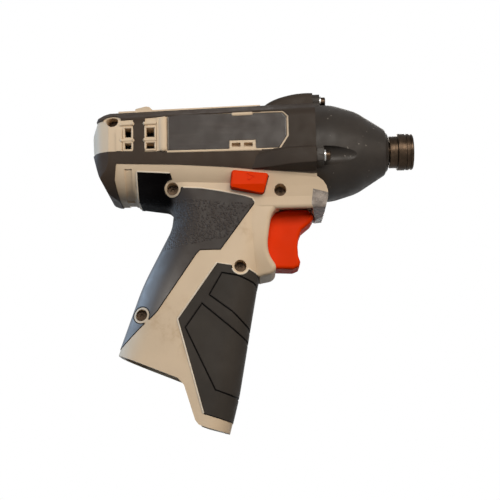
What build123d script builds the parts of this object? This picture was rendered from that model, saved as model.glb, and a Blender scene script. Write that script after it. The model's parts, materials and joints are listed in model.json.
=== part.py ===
"""Cordless impact driver without its battery: an assembly of separate pieces in one frame.

Millimetres, +Z up, +X out of the nose, the tool's right side towards -Y.
The origin is the mouth of the hex bit socket, on the output axis.
"""

import math
import os

from build123d import *

# Overall body
BODY_FRONT = -54.3
BODY_REAR = -173.4
BARREL_REAR_HALF = 24.3
BARREL_REAR_TOP = 22.0
BARREL_REAR_BOTTOM = -25.8
BARREL_FRONT_HALF = 27.0
BARREL_FRONT_TOP = 25.8
BARREL_FRONT_BOTTOM = -27.5
ROOF_HALF = 9.5
ROOF_DROP = 8.0
ROOF_RADIUS = 6.0
BARREL_BOTTOM_RADIUS = 19.0
HANDLE_HALF = 21.5
HANDLE_REAR_RADIUS = 14.5
HANDLE_FRONT_RADIUS = 12.5
HANDLE_BOTTOM = -152.0
WALL = 3.2

# Soft grips and bands
GRIP_DEPTH = 1.5
GRIP_PROUD = 0.3
BAND_PROUD = 0.5
SPINE_PROUD = 1.4
COLLAR_DEPTH = 2.0
COLLAR_REAR = -83.0
GROOVE_WIDTH = 1.0
GROOVE_FLOOR = 0.45

# Bores along the output axis
FAN_BAY_RADIUS = 20.2
MOTOR_BAY_RADIUS = 18.3
GEAR_BAY_RADIUS = 21.2
REAR_POCKET_RADIUS = 9.5
FAN_BAY_REAR = -158.5
MOTOR_BAY_REAR = -145.0
GEAR_BAY_REAR = -84.0

# Nose case
NOSE_RADIUS = 26.4
NOSE_FRONT = -14.3
NOSE_INNER_RADIUS = 21.4
SPIGOT_RADIUS = 20.9
SPIGOT_LENGTH = 3.5
EAR_RADIUS = 4.2
EAR_FRONT = -50.4
EAR_CIRCLE = 29.4
SIDE_EAR_DROP = 16.0
FLUTE_RADIUS = 6.2
FLUTE_END = -24.0
FLUTE_END_RADIUS = 3.6

# Fasteners
NOSE_SCREW_RADIUS = 1.5
NOSE_HEAD_RADIUS = 2.6
NOSE_HEAD_LENGTH = 2.5
NOSE_SCREW_LENGTH = 15.0
WASHER_RADIUS = 3.2
WASHER_THICKNESS = 0.8
CASE_SCREW_RADIUS = 1.5
CASE_HEAD_RADIUS = 2.7
CASE_HEAD_LENGTH = 1.8
CASE_SCREW_END = 9.0
SCREW_RECESS_RADIUS = 3.2
SCREW_BOSS_RADIUS = 3.9
SCREW_RING_RADIUS = 4.7
THREAD_CLEARANCE = 0.05
HOLE_CLEARANCE = 0.2
# Position in the side view and the depth of the seat from the middle plane
CASE_SCREWS = (
    (-161.8, 14.1, 11.0),
    (-130.4, -22.3, 13.0),
    (-73.7, -24.6, 13.0),
    (-95.5, -64.4, 13.0),
    (-147.5, -88.8, 11.0),
)

# Anvil, sleeve and bit socket
HEX_ACROSS_FLATS = 6.45
HEX_DEPTH = 24.0
ANVIL_RADIUS = 5.6
DOG_RADIUS = 15.0
DOG_WIDTH = 9.0
DOG_FRONT = -28.6
DOG_REAR = -36.0
BUSH_RADIUS = 8.0
RUNNING_CLEARANCE = 0.03
SLEEVE_NECK_RADIUS = 8.7
SLEEVE_RING_RADIUS = 10.0
SLEEVE_REAR = -13.4
SLEEVE_STEP = -9.0
SLEEVE_FRONT = -0.4
BALL_RADIUS = 1.75
BALL_X = -9.0
BALL_REACH = 4.4

# Impact mechanism
HAMMER_RADIUS = 19.2
HAMMER_FRONT = -37.5
HAMMER_REAR = -55.5
HAMMER_TRAVEL = 6.0
SPINDLE_RADIUS = 8.0
PILOT_RADIUS = 3.4
CARRIER_FRONT = -63.0
CARRIER_REAR = -76.0
CARRIER_RADIUS = 14.5
HUB_RADIUS = 8.5
CAM_BALL_RADIUS = 1.9
CAM_BALL_X = -47.0

# Planetary gears
GEAR_MODULE = 0.7
SUN_TEETH = 9
PLANET_TEETH = 21
RING_TEETH = SUN_TEETH + 2 * PLANET_TEETH
PLANETS = 3
GEAR_ADDENDUM = 0.75
GEAR_DEDENDUM = 1.15
GEAR_BACKLASH = 0.18
GEAR_REAR = -73.5
GEAR_FRONT = -66.5
PLANET_ORBIT = GEAR_MODULE * (SUN_TEETH + PLANET_TEETH) / 2
RING_OUTER_RADIUS = 20.9

# Motor
CAN_RADIUS = 18.0
CAN_WALL = 1.2
CAN_REAR = -138.0
CAN_FRONT = -84.2
SHAFT_RADIUS = 1.6
SHAFT_REAR = -157.0
ROTOR_RADIUS = 12.8
FAN_RADIUS = 19.0
FAN_BLADES = 9

# Trigger, selector and switch
TRIGGER_HALF = 9.4
SELECTOR_CLEARANCE = 0.4
SWITCH_REAR = -115.0
SWITCH_FRONT = -90.5
SWITCH_TOP = -36.0
SWITCH_BOTTOM = -59.4
SWITCH_HALF = 10.5

SIDE = Plane(origin=(0, 0, 0), x_dir=(1, 0, 0), z_dir=(0, -1, 0))
REACH = 45.0

os.makedirs("parts", exist_ok=True)


def save(part, label):
    """Names a finished piece and writes it."""
    part.label = label
    export_step(part, "parts/" + label + ".step")


def across(x):
    """The plane across the output axis at a station, facing the nose."""
    return Plane(origin=(x, 0, 0), x_dir=(0, 1, 0), z_dir=(1, 0, 0))


def turned(points):
    """A solid turned about the output axis from station and radius pairs."""
    with BuildPart() as body:
        with BuildSketch(Plane.XZ):
            with BuildLine():
                Polyline(*points, close=True)
            make_face()
        revolve(axis=Axis.X)
    return body.part


def prism(points, near, far):
    """A side view outline pushed out from one distance right of the middle plane to another."""
    with BuildPart() as body:
        with BuildSketch(SIDE.offset(near)):
            with BuildLine():
                Polyline(*points, close=True)
            make_face()
        extrude(amount=far - near)
    return body.part


def rod(x, z, radius, near, far):
    """A round bar along Y, given by its distances right of the middle plane."""
    with BuildPart() as body:
        with BuildSketch(SIDE.offset(near)):
            with Locations((x, z)):
                Circle(radius)
        extrude(amount=far - near)
    return body.part


def mirrored(part):
    """The left hand twin of a right hand piece."""
    with BuildPart() as body:
        add(part)
        mirror(about=Plane.XZ, mode=Mode.REPLACE)
    return body.part


def barrel_section(half, top, bottom, inset):
    """One side of the barrel's cross-section, from the sole to the roof, drawn in by an inset."""
    eave = top - ROOF_DROP
    run = half - ROOF_HALF
    pitch = math.hypot(run, ROOF_DROP)
    across_roof = ROOF_DROP / pitch
    up_roof = run / pitch
    reach = half * across_roof + eave * up_roof - inset
    eave_z = (reach - (half - inset) * across_roof) / up_roof
    ridge_y = (reach - (top - inset) * up_roof) / across_roof
    return (half - inset, bottom + inset), (half - inset, eave_z), (ridge_y, top - inset)


def rear_profile(inset):
    """The barrel's rear end in the side view, as a block that keeps what lies ahead of it."""
    corners = (
        ((-161.0 + inset, 24.0 - inset), 5.0),
        ((-166.6 + inset, 20.0 - inset), 6.0),
        ((BODY_REAR + 0.2 + inset, 8.6 - 0.5 * inset), 7.0),
        ((BODY_REAR + 0.8 + inset, -1.6), 20.0),
        ((BODY_REAR + 4.8 + inset, -15.4), 25.0),
        ((BODY_REAR + 9.0 + inset, -22.8 + inset), 5.0),
    )
    with BuildPart() as body:
        with BuildSketch(SIDE) as outline:
            with BuildLine():
                Polyline(
                    (-150.0, 40.0),
                    *[corner for corner, radius in corners],
                    (-150.0, -32.0),
                    (-40.0, -60.0),
                    (-40.0, 60.0),
                    close=True,
                )
            make_face()
            for corner, radius in corners:
                fillet(outline.vertices().sort_by_distance((*corner, 0))[0], radius)
        extrude(amount=REACH, both=True)
    return body.part


def rear_plan(inset):
    """The barrel's rear end seen from above, as a block that keeps what lies ahead of it."""
    corners = (
        (BODY_REAR + inset, 12.0 - 0.5 * inset),
        (BODY_REAR + 4.0 + inset, 21.5 - inset),
    )
    near = [(x, -y) for x, y in corners]
    with BuildPart() as body:
        with BuildSketch(Plane.XY) as outline:
            with BuildLine():
                Polyline(
                    (-40.0, 60.0),
                    (-150.0, 32.0),
                    *reversed(corners),
                    *near,
                    (-150.0, -32.0),
                    (-40.0, -60.0),
                    close=True,
                )
            make_face()
            for corner in (*corners, *near):
                fillet(outline.vertices().sort_by_distance((*corner, 0))[0], 9.0)
        extrude(amount=70.0, both=True)
    return body.part


def barrel_form(inset):
    """The motor barrel's outer form, drawn in by an inset."""
    stations = (
        (BODY_REAR - 2.0, BARREL_REAR_HALF, BARREL_REAR_TOP, BARREL_REAR_BOTTOM),
        (BODY_FRONT, BARREL_FRONT_HALF, BARREL_FRONT_TOP, BARREL_FRONT_BOTTOM),
    )
    length = BODY_FRONT - BODY_REAR
    with BuildPart() as body:
        for x, half, top, bottom in stations:
            side = barrel_section(half, top, bottom, inset)
            other = [(-y, z) for y, z in reversed(side)]
            with BuildSketch(across(x)):
                with BuildLine():
                    Polyline(*side, *other, close=True)
                make_face()
        loft(ruled=True)
        upper = body.edges().filter_by(lambda e: e.length > 0.9 * length and e.center().Z > 0)
        fillet(upper, ROOF_RADIUS - inset)
        lower = body.edges().filter_by(lambda e: e.length > 0.9 * length and e.center().Z < -22)
        fillet(lower, BARREL_BOTTOM_RADIUS - inset)
        add(rear_profile(inset), mode=Mode.INTERSECT)
        add(rear_plan(inset), mode=Mode.INTERSECT)
    return body.part


def handle_form(inset):
    """The handle's outer form with its flare under the barrel, drawn in by an inset."""
    slant = 1.08 * inset
    web = (-130.0 + slant, -30.2 + inset)
    neck = (-131.4 + slant, -42.0)
    palm = (-147.0 + slant, -71.8)
    heel = (-160.4 + slant, -108.4)
    toe = (-98.0 - inset, -131.0)
    belly = (-90.8 - inset, -92.0)
    waist = (-87.6 - inset, -75.0)
    throat = (-82.0 - inset, -52.0)
    bends = (
        (web, 5.5 + 0.8 * inset),
        (neck, 22.0 + inset),
        (palm, 120.0),
        (heel, 120.0),
        (toe, 120.0),
        (belly, 60.0),
        (waist, 40.0),
        (throat, 60.0),
    )
    with BuildPart() as body:
        with BuildSketch(SIDE) as outline:
            with BuildLine():
                Polyline(
                    (-150.5 + inset, -10.0),
                    (-150.5 + inset, -26.0 + inset),
                    (-147.0, -27.6 + inset),
                    web,
                    neck,
                    palm,
                    heel,
                    (-174.5 + slant, HANDLE_BOTTOM),
                    (-103.5 - inset, HANDLE_BOTTOM),
                    toe,
                    belly,
                    waist,
                    throat,
                    (-78.0 - inset, -10.0),
                    close=True,
                )
            make_face()
            for corner, radius in bends:
                fillet(outline.vertices().sort_by_distance((*corner, 0))[0], radius)
        extrude(amount=HANDLE_HALF - inset, both=True)
        flank = body.edges().filter_by(lambda e: abs(abs(e.center().Y) - HANDLE_HALF + inset) < 0.001)
        grip = flank.filter_by(lambda e: HANDLE_BOTTOM + 1 < e.center().Z < -12)
        rear = grip.filter_by(lambda e: e.center().X < -125 and e.center().Z < -27.6 + inset - 0.1)
        fillet(rear, HANDLE_REAR_RADIUS - inset)
        flank = body.edges().filter_by(lambda e: abs(abs(e.center().Y) - HANDLE_HALF + inset) < 0.001)
        grip = flank.filter_by(lambda e: HANDLE_BOTTOM + 1 < e.center().Z < -12)
        fillet(grip.filter_by(lambda e: e.center().X > -110), HANDLE_FRONT_RADIUS - inset)
    return body.part


# The lower end of the handle: the battery's mouth at the rear, a tongue at the front
MOUTH_LINE = ((-190.0, -95.5), (-160.5, -108.8), (-128.8, -121.8), (-125.6, -125.6), (-120.2, -143.4))
TONGUE_END = ((-118.4, -145.8), (-114.6, -147.2), (-103.0, -150.6), (-90.0, -153.0), (-90.0, -170.0))
mouth_cut = prism((*MOUTH_LINE, *TONGUE_END, (-190.0, -170.0)), -REACH, REACH)

# The flank of the casing above the trigger, running into the chin under the nose with the lamp lens
CHIN_SIDE = (
    (-112.0, -10.0),
    (-58.0, -10.0),
    (-56.8, -16.8),
    (-53.6, -18.4),
    (-51.0, -20.4),
    (-49.4, -22.8),
    (-48.4, -26.0),
    (-48.6, -28.8),
    (-50.6, -36.6),
    (-54.8, -37.8),
    (-57.0, -34.0),
    (-112.0, -34.0),
)
FLANK_START = -112.0
FLANK_FULL = -84.0
CHIN_FRONT = -47.6
CHIN_HALF = 26.0
CHIN_CORNER = 8.0
SECTION_FULL = (
    (25.4, -8.0),
    (24.9, -16.0),
    (22.9, -22.5),
    (21.5, -28.0),
    (20.9, -33.8),
    (15.0, -35.2),
    (8.0, -36.8),
    (4.0, -38.0),
)
SECTION_START = (
    (22.4, -8.0),
    (21.8, -14.0),
    (19.6, -21.0),
    (19.0, -28.0),
    (18.6, -33.8),
    (14.0, -35.2),
    (8.0, -36.8),
    (4.0, -38.0),
)
LENS_SIDE = (
    (-56.4, -24.4),
    (-44.0, -27.4),
    (-44.0, -42.0),
    (-56.0, -42.0),
    (-54.2, -39.4),
    (-57.4, -32.0),
)


def flank_section(points):
    """A cross-section through both flanks, rounded at its lower corners."""
    with BuildSketch() as section:
        with BuildLine():
            Polyline(*points, *[(-y, z) for y, z in reversed(points)], close=True)
        make_face()
        fillet(section.vertices().filter_by(lambda v: -36.0 < v.Y < -30.0), 2.4)
    return section.sketch


with BuildPart() as chin_form:
    for x, points in ((FLANK_START, SECTION_START), (FLANK_FULL, SECTION_FULL)):
        with BuildSketch(across(x)):
            add(flank_section(points))
    loft(ruled=True)
    with BuildSketch(across(FLANK_FULL)):
        add(flank_section(SECTION_FULL))
    extrude(amount=CHIN_FRONT - FLANK_FULL)
    with BuildSketch(SIDE) as chin_side:
        with BuildLine():
            Polyline(*CHIN_SIDE, close=True)
        make_face()
        fillet(chin_side.vertices().filter_by(lambda v: v.X > -54.0), 2.4)
    extrude(amount=REACH, both=True, mode=Mode.INTERSECT)
    with BuildSketch(Plane.XY) as chin_plan:
        with Locations(((FLANK_START + CHIN_FRONT) / 2, 0)):
            Rectangle(CHIN_FRONT - FLANK_START, 2 * CHIN_HALF)
        fillet(chin_plan.vertices().filter_by(lambda v: v.X > -60.0), CHIN_CORNER)
    extrude(amount=60.0, both=True, mode=Mode.INTERSECT)

# The cheeks of the casing on either side of the trigger, with the lip under it
CHEEK_HALF = 20.8
CHEEK_REAR = -96.0
CHEEK_ROUND = 2.4
CHEEK_EDGE = (
    (-68.0, -31.0),
    (-73.6, -32.6),
    (-78.0, -36.4),
    (-79.9, -43.5),
    (-80.9, -51.5),
    (-79.2, -59.6),
    (-76.8, -64.6),
    (-78.2, -67.2),
    (-83.0, -68.8),
    (-86.5, -70.0),
)
CHEEK_SECTION = (
    (CHEEK_HALF, -26.0),
    (CHEEK_HALF, -34.0),
    (20.6, -44.0),
    (19.8, -52.0),
    (18.0, -60.0),
    (15.4, -67.0),
    (13.0, -75.0),
)
with BuildPart() as cheek_form:
    with BuildSketch(SIDE):
        with BuildLine():
            edge = Spline(*CHEEK_EDGE)
            Polyline(
                edge @ 1,
                (-86.5, -75.0),
                (CHEEK_REAR, -75.0),
                (CHEEK_REAR, -26.0),
                (-68.0, -26.0),
                edge @ 0,
            )
        make_face()
    extrude(amount=REACH, both=True)
    with BuildSketch(across(-100.0)):
        with BuildLine():
            near = Spline(*CHEEK_SECTION)
            far = Spline(*[(-y, z) for y, z in CHEEK_SECTION])
            Line(near @ 0, far @ 0)
            Line(near @ 1, far @ 1)
        make_face()
    extrude(amount=50.0, mode=Mode.INTERSECT)
    rim = cheek_form.edges().filter_by(lambda e: -86.0 < e.center().X < -70.0 and abs(e.center().Y) > 8.0)
    fillet(rim.filter_by(GeomType.BSPLINE), CHEEK_ROUND)

barrel_skin = barrel_form(0.0)
handle_skin = handle_form(0.0)
barrel_core = barrel_form(GRIP_DEPTH)
handle_core = handle_form(GRIP_DEPTH)

# Panels of the right side, as side view outlines
BAND_OUTLINE = (
    (-180.0, 45.0),
    (COLLAR_REAR, 45.0),
    (COLLAR_REAR, -3.6),
    (-84.0, -3.6),
    (-84.0, -14.2),
    (-101.0, -12.4),
    (-126.0, -10.5),
    (-159.6, -9.1),
    (-160.7, -17.2),
    (-158.6, -28.8),
    (-158.2, -36.0),
    (-180.0, -36.0),
)
REAR_WINDOW = ((-180.0, -2.6), (-151.0, -2.6), (-150.6, 15.0), (-158.0, 14.6), (-180.0, 14.6))
FRONT_WINDOW = (
    (-144.5, -3.2),
    (-80.0, -3.2),
    (-80.0, 17.4),
    (-125.7, 17.2),
    (-133.1, 16.4),
    (-144.3, 15.7),
)
COLLAR_OUTLINE = (
    (BODY_FRONT, 45.0),
    (COLLAR_REAR, 45.0),
    (COLLAR_REAR, 17.6),
    (-71.4, 17.6),
    (-68.5, 14.4),
    (-68.5, 3.5),
    (-73.2, -3.6),
    (-84.0, -3.6),
    (-84.0, -14.2),
    (-56.7, -16.6),
    (BODY_FRONT, -16.6),
)
PALM_OUTLINE = (
    (-148.8, -13.7),
    (-131.7, -14.9),
    (-131.0, -17.2),
    (-126.1, -22.1),
    (-114.9, -22.9),
    (-104.1, -24.8),
    (-93.4, -27.2),
    (-88.6, -28.6),
    (-87.3, -30.6),
    (-105.7, -55.3),
    (-116.4, -55.3),
    (-118.6, -57.5),
    (-139.1, -87.0),
    (-142.8, -90.7),
    (-147.6, -94.7),
    (-157.0, -103.5),
    (-180.0, -121.0),
    (-180.0, -60.0),
    (-153.0, -36.0),
    (-148.8, -27.0),
)
FINGER_OUTLINE = (
    (-107.5, -62.6),
    (-100.1, -64.1),
    (-91.0, -66.2),
    (-85.4, -69.2),
    (-83.8, -71.4),
    (-70.0, -76.0),
    (-80.0, -150.0),
    (-101.1, -144.8),
    (-115.6, -140.1),
    (-128.3, -91.4),
)
UPPER_PAD = (
    (-105.2, -67.8),
    (-96.9, -69.4),
    (-89.1, -72.7),
    (-80.0, -80.0),
    (-80.0, -109.0),
    (-100.0, -88.3),
    (-112.0, -79.2),
)
LOWER_PAD = (
    (-115.8, -83.7),
    (-124.6, -96.0),
    (-109.6, -128.4),
    (-98.2, -132.7),
    (-84.0, -138.0),
    (-84.0, -111.0),
)


def spine_cut():
    """The strip along the top of the barrel that the bands leave bare."""
    with BuildPart() as body:
        with BuildSketch(Plane.XY.offset(15.0)):
            with BuildLine():
                Polyline((-160.0, -9.6), (COLLAR_REAR, -8.0), (COLLAR_REAR, 8.0), (-160.0, 9.6), close=True)
            make_face()
        extrude(amount=30.0)
    return body.part


def screw_rings(indices):
    """Round lands about some of the casing screws, left bare by the grips."""
    with BuildPart() as body:
        for index in indices:
            x, z, seat = CASE_SCREWS[index]
            add(rod(x, z, SCREW_RING_RADIUS, 0.0, REACH))
    return body.part


# Prisms of the panels on the right side
with BuildPart() as band_zone:
    add(prism(BAND_OUTLINE, 0.0, REACH))
    add(prism(REAR_WINDOW, -1.0, REACH + 1), mode=Mode.SUBTRACT)
    add(prism(FRONT_WINDOW, -1.0, REACH + 1), mode=Mode.SUBTRACT)
    add(spine_cut(), mode=Mode.SUBTRACT)
    add(screw_rings((0,)), mode=Mode.SUBTRACT)
with BuildPart() as palm_zone:
    add(prism(PALM_OUTLINE, 0.0, REACH))
    add(screw_rings((1, 4)), mode=Mode.SUBTRACT)
with BuildPart() as finger_zone:
    add(prism(FINGER_OUTLINE, 0.0, REACH))
    add(screw_rings((3,)), mode=Mode.SUBTRACT)
collar_zone = prism(COLLAR_OUTLINE, -REACH, REACH)


def groove(points):
    """A narrow outline groove, as a prism."""
    with BuildPart() as body:
        with BuildSketch(SIDE):
            with BuildLine():
                Polyline(*points, close=True)
            make_face()
            offset(amount=GROOVE_WIDTH / 2, kind=Kind.INTERSECTION)
            with BuildLine():
                Polyline(*points, close=True)
            shape = make_face(mode=Mode.PRIVATE)
            inner = offset(shape, amount=-GROOVE_WIDTH / 2, kind=Kind.INTERSECTION, mode=Mode.PRIVATE)
            add(inner, mode=Mode.SUBTRACT)
        extrude(amount=REACH)
    return body.part


# Bands and grips of the right side
with BuildPart() as right_band:
    add(barrel_form(-BAND_PROUD))
    add(barrel_core, mode=Mode.SUBTRACT)
    add(band_zone.part, mode=Mode.INTERSECT)
with BuildPart() as right_palm_grip:
    add(barrel_form(-GRIP_PROUD))
    add(handle_form(-GRIP_PROUD))
    add(barrel_core, mode=Mode.SUBTRACT)
    add(handle_core, mode=Mode.SUBTRACT)
    add(palm_zone.part, mode=Mode.INTERSECT)
with BuildPart() as right_finger_grip:
    add(handle_form(-GRIP_PROUD))
    add(handle_core, mode=Mode.SUBTRACT)
    add(finger_zone.part, mode=Mode.INTERSECT)
    add(mouth_cut, mode=Mode.SUBTRACT)
groove_floor = handle_form(GROOVE_FLOOR)
with BuildPart() as grip_grooves:
    add(groove(UPPER_PAD))
    add(groove(LOWER_PAD))
    add(groove_floor, mode=Mode.SUBTRACT)
with BuildPart() as right_finger_pad:
    add(right_finger_grip.part)
    add(grip_grooves.part, mode=Mode.SUBTRACT)
for name, piece in (
    ("band", right_band.part),
    ("palm_grip", right_palm_grip.part),
    ("finger_grip", right_finger_pad.part),
):
    save(piece, "right_" + name)
    save(mirrored(piece), "left_" + name)

# Rating plates, lying in shallow pockets on the barrel's flanks
PLATE_THICKNESS = 0.8
PLATE_CLEARANCE = 0.35
PLATE_OUTLINE = (
    (-31.5, -9.6),
    (1.0, -9.6),
    (1.0, -5.0),
    (15.2, -5.0),
    (15.2, -9.6),
    (27.2, -9.6),
    (31.4, -3.2),
    (31.4, 7.0),
    (29.2, 9.4),
    (-24.5, 9.8),
    (-31.5, 8.9),
)
PLATE_LEAN = math.radians(2.0)
PLATE_FLARE = (BARREL_FRONT_HALF - BARREL_REAR_HALF) / (BODY_FRONT - BODY_REAR + 2.0)
plate_plane = Plane(
    origin=(-101.0, -24.6, 7.0),
    x_dir=(1.0, -PLATE_FLARE, 0.0),
    z_dir=(-PLATE_FLARE * math.cos(PLATE_LEAN), -math.cos(PLATE_LEAN), math.sin(PLATE_LEAN)),
)
with BuildPart() as right_plate:
    with BuildSketch(plate_plane) as plate_face:
        with BuildLine():
            Polyline(*PLATE_OUTLINE, close=True)
        make_face()
        fillet(plate_face.vertices(), 0.5)
    extrude(amount=PLATE_THICKNESS)
with BuildPart() as plate_pocket:
    with BuildSketch(plate_plane):
        with BuildLine():
            Polyline(*PLATE_OUTLINE, close=True)
        make_face()
        offset(amount=PLATE_CLEARANCE, kind=Kind.INTERSECTION)
    extrude(amount=8.0)
save(right_plate.part, "right_rating_plate")
save(mirrored(right_plate.part), "left_rating_plate")

# Nose case
ear_angles = (90.0, 180.0 + SIDE_EAR_DROP, -SIDE_EAR_DROP)
ear_places = [
    (EAR_CIRCLE * math.cos(math.radians(a)), EAR_CIRCLE * math.sin(math.radians(a))) for a in ear_angles
]
ear_roots = [(0.9 * y, 0.9 * z) for y, z in ear_places]
FLARE_START = (-45.0, NOSE_RADIUS)
FLARE_BREAK = (-31.5, 22.4)
FLARE_END = (-16.0, 12.6)
with BuildPart() as nose_case:
    with BuildSketch(Plane.XZ) as profile:
        with BuildLine():
            Polyline(
                (BODY_FRONT, NOSE_RADIUS),
                FLARE_START,
                FLARE_BREAK,
                FLARE_END,
                (NOSE_FRONT - 0.6, 10.6),
                (NOSE_FRONT, 10.0),
                (NOSE_FRONT, BUSH_RADIUS),
                (-27.4, BUSH_RADIUS),
                (-27.4, 16.2),
                (-38.0, NOSE_INNER_RADIUS - 0.4),
                (-40.0, NOSE_INNER_RADIUS),
                (BODY_FRONT + 2.5, NOSE_INNER_RADIUS),
                (BODY_FRONT - SPIGOT_LENGTH, SPIGOT_RADIUS - 1.2),
                (BODY_FRONT - SPIGOT_LENGTH, SPIGOT_RADIUS),
                (BODY_FRONT, SPIGOT_RADIUS),
                close=True,
            )
        make_face()
        for corner, radius in ((FLARE_START, 24.0), (FLARE_BREAK, 24.0), (FLARE_END, 2.0)):
            fillet(profile.vertices().sort_by_distance((*corner, 0))[0], radius)
    revolve(axis=Axis.X)
    with BuildSketch(across(BODY_FRONT)):
        with Locations(*ear_places, *ear_roots):
            Circle(EAR_RADIUS)
    extrude(amount=EAR_FRONT - BODY_FRONT)
    for y, z in ear_places:
        with BuildSketch(across(EAR_FRONT)):
            with Locations((y, z)):
                Circle(FLUTE_RADIUS)
        with BuildSketch(across(FLUTE_END)):
            with Locations((0.88 * y, 0.88 * z)):
                Circle(FLUTE_END_RADIUS)
        loft(mode=Mode.SUBTRACT)
    with BuildSketch(across(BODY_FRONT - 1.0)):
        with Locations(*ear_places):
            Circle(NOSE_SCREW_RADIUS + HOLE_CLEARANCE)
    extrude(amount=EAR_FRONT - BODY_FRONT + 2.0, mode=Mode.SUBTRACT)
save(nose_case.part, "nose_case")

# Front collar over both halves of the casing, with the bosses of the nose screws
HUMP_HALF = 6.8
with BuildPart() as hump:
    with BuildSketch(SIDE.offset(-HUMP_HALF)):
        with BuildLine():
            crest = Spline((-82.4, 25.6), (-78.0, 28.9), (-70.0, 32.0), (-62.0, 33.5), (BODY_FRONT, 33.7))
            Polyline(crest @ 1, (BODY_FRONT, 15.0), (-82.4, 15.0), crest @ 0)
        make_face()
    extrude(amount=2 * HUMP_HALF)
    fillet(hump.edges().filter_by(lambda e: e.center().Z > 26 and abs(e.center().Y) > HUMP_HALF - 0.1), 4.0)
with BuildPart() as side_bosses:
    for y, z in ear_places[1:]:
        with BuildSketch(Plane(origin=(-82.0, 0.88 * y, z), x_dir=(0, 1, 0), z_dir=(1, 0, 0))):
            Circle(2.0)
        with BuildSketch(Plane(origin=(-68.0, y, z), x_dir=(0, 1, 0), z_dir=(1, 0, 0))):
            Circle(EAR_RADIUS)
        loft()
        with BuildSketch(across(-68.0)):
            with Locations((y, z)):
                Circle(EAR_RADIUS)
        extrude(amount=BODY_FRONT + 68.0)
with BuildPart() as front_collar:
    add(barrel_form(-BAND_PROUD))
    add(hump.part)
    add(side_bosses.part)
    add(barrel_form(COLLAR_DEPTH), mode=Mode.SUBTRACT)
    add(collar_zone, mode=Mode.INTERSECT)
    with BuildSketch(across(BODY_FRONT)):
        with Locations(*ear_places):
            Circle(NOSE_SCREW_RADIUS)
    extrude(amount=-NOSE_SCREW_LENGTH + 2.0, mode=Mode.SUBTRACT)
save(front_collar.part, "front_collar")

# Nose screws and their washers
HEAD_FACE = EAR_FRONT + WASHER_THICKNESS
with BuildPart() as nose_washers:
    with BuildSketch(across(EAR_FRONT)):
        with Locations(*ear_places):
            Circle(WASHER_RADIUS)
        with Locations(*ear_places):
            Circle(NOSE_SCREW_RADIUS + HOLE_CLEARANCE, mode=Mode.SUBTRACT)
    extrude(amount=WASHER_THICKNESS)
with BuildPart() as nose_screws:
    with BuildSketch(across(HEAD_FACE)):
        with Locations(*ear_places):
            Circle(NOSE_HEAD_RADIUS)
    extrude(amount=NOSE_HEAD_LENGTH)
    fillet(nose_screws.edges().filter_by(GeomType.CIRCLE).group_by(Axis.X)[-1], 0.6)
    with BuildSketch(across(HEAD_FACE)):
        with Locations(*ear_places):
            Circle(NOSE_SCREW_RADIUS - THREAD_CLEARANCE)
    extrude(amount=-NOSE_SCREW_LENGTH)
    with BuildSketch(across(HEAD_FACE + NOSE_HEAD_LENGTH - 1.2)):
        with Locations(*ear_places):
            RegularPolygon(1.5, 6)
    extrude(amount=2.0, mode=Mode.SUBTRACT)
save(nose_washers.part, "nose_washers")
save(nose_screws.part, "nose_screws")

# Trigger, a slide with a hollowed finger face and a square plunger behind
TRIGGER_REAR = -83.5
TRIGGER_OUTLINE = (
    (TRIGGER_REAR, -37.0),
    (-76.0, -33.8),
    (-69.9, -32.6),
    (-59.2, -32.9),
    (-56.6, -35.0),
    (-56.0, -37.2),
    (-57.6, -39.8),
    (-62.6, -43.8),
    (-64.2, -47.7),
    (-64.9, -52.6),
    (-64.7, -57.6),
    (-63.6, -61.0),
    (-64.6, -63.6),
    (-67.6, -64.8),
    (-76.3, -64.4),
    (TRIGGER_REAR, -62.0),
)
PLUNGER_WIDTH = 7.0
PLUNGER_HEIGHT = 10.0
PLUNGER_LENGTH = 12.5
PLUNGER_Z = -48.0
with BuildPart() as trigger:
    with BuildSketch(SIDE.offset(-TRIGGER_HALF)) as trigger_side:
        with BuildLine():
            Polyline(*TRIGGER_OUTLINE, close=True)
        make_face()
        fillet(trigger_side.vertices().filter_by(lambda v: v.X > -70), 1.0)
    extrude(amount=2 * TRIGGER_HALF)
    flank = trigger.edges().filter_by(lambda e: abs(abs(e.center().Y) - TRIGGER_HALF) < 0.001)
    fillet(flank.filter_by(lambda e: e.center().X > -69), 1.8)
    with BuildSketch(Plane(origin=(TRIGGER_REAR, 0, PLUNGER_Z), x_dir=(0, 1, 0), z_dir=(-1, 0, 0))):
        Rectangle(PLUNGER_WIDTH, PLUNGER_HEIGHT)
    extrude(amount=PLUNGER_LENGTH)
save(trigger.part, "trigger")

# Direction selector, pushed across under the motor, with a button at each end
BUTTON_OUTLINE = ((-98.8, -14.3), (-79.6, -16.5), (-82.6, -26.8), (-99.9, -23.2))
BUTTON_CORNER = 1.5
BUTTON_INNER = 19.6
BUTTON_FACE = 27.2
BUTTON_BREAK = -22.2
BUTTON_SOLE = 24.8
BUTTON_EDGE = 0.8
ARROW_PLACE = (-89.6, -18.6)
ARROW_RADIUS = 2.7
ARROW_LINE = 1.0
ARROW_DEPTH = 0.4
BAR_REAR = -92.0
BAR_FRONT = -84.5
BAR_TOP = -20.2
BAR_BOTTOM = -23.4
FORK_X = -88.0
FORK_BOTTOM = -30.0
FORK_GAP = 5.2
FORK_WALL = 2.0


def button_outline(grow):
    """The button's outline in the side view, grown all round."""
    with BuildSketch() as outline:
        with BuildLine():
            Polyline(*BUTTON_OUTLINE, close=True)
        make_face()
        fillet(outline.vertices(), BUTTON_CORNER)
        if grow > 0:
            offset(amount=grow)
    return outline.sketch


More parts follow.
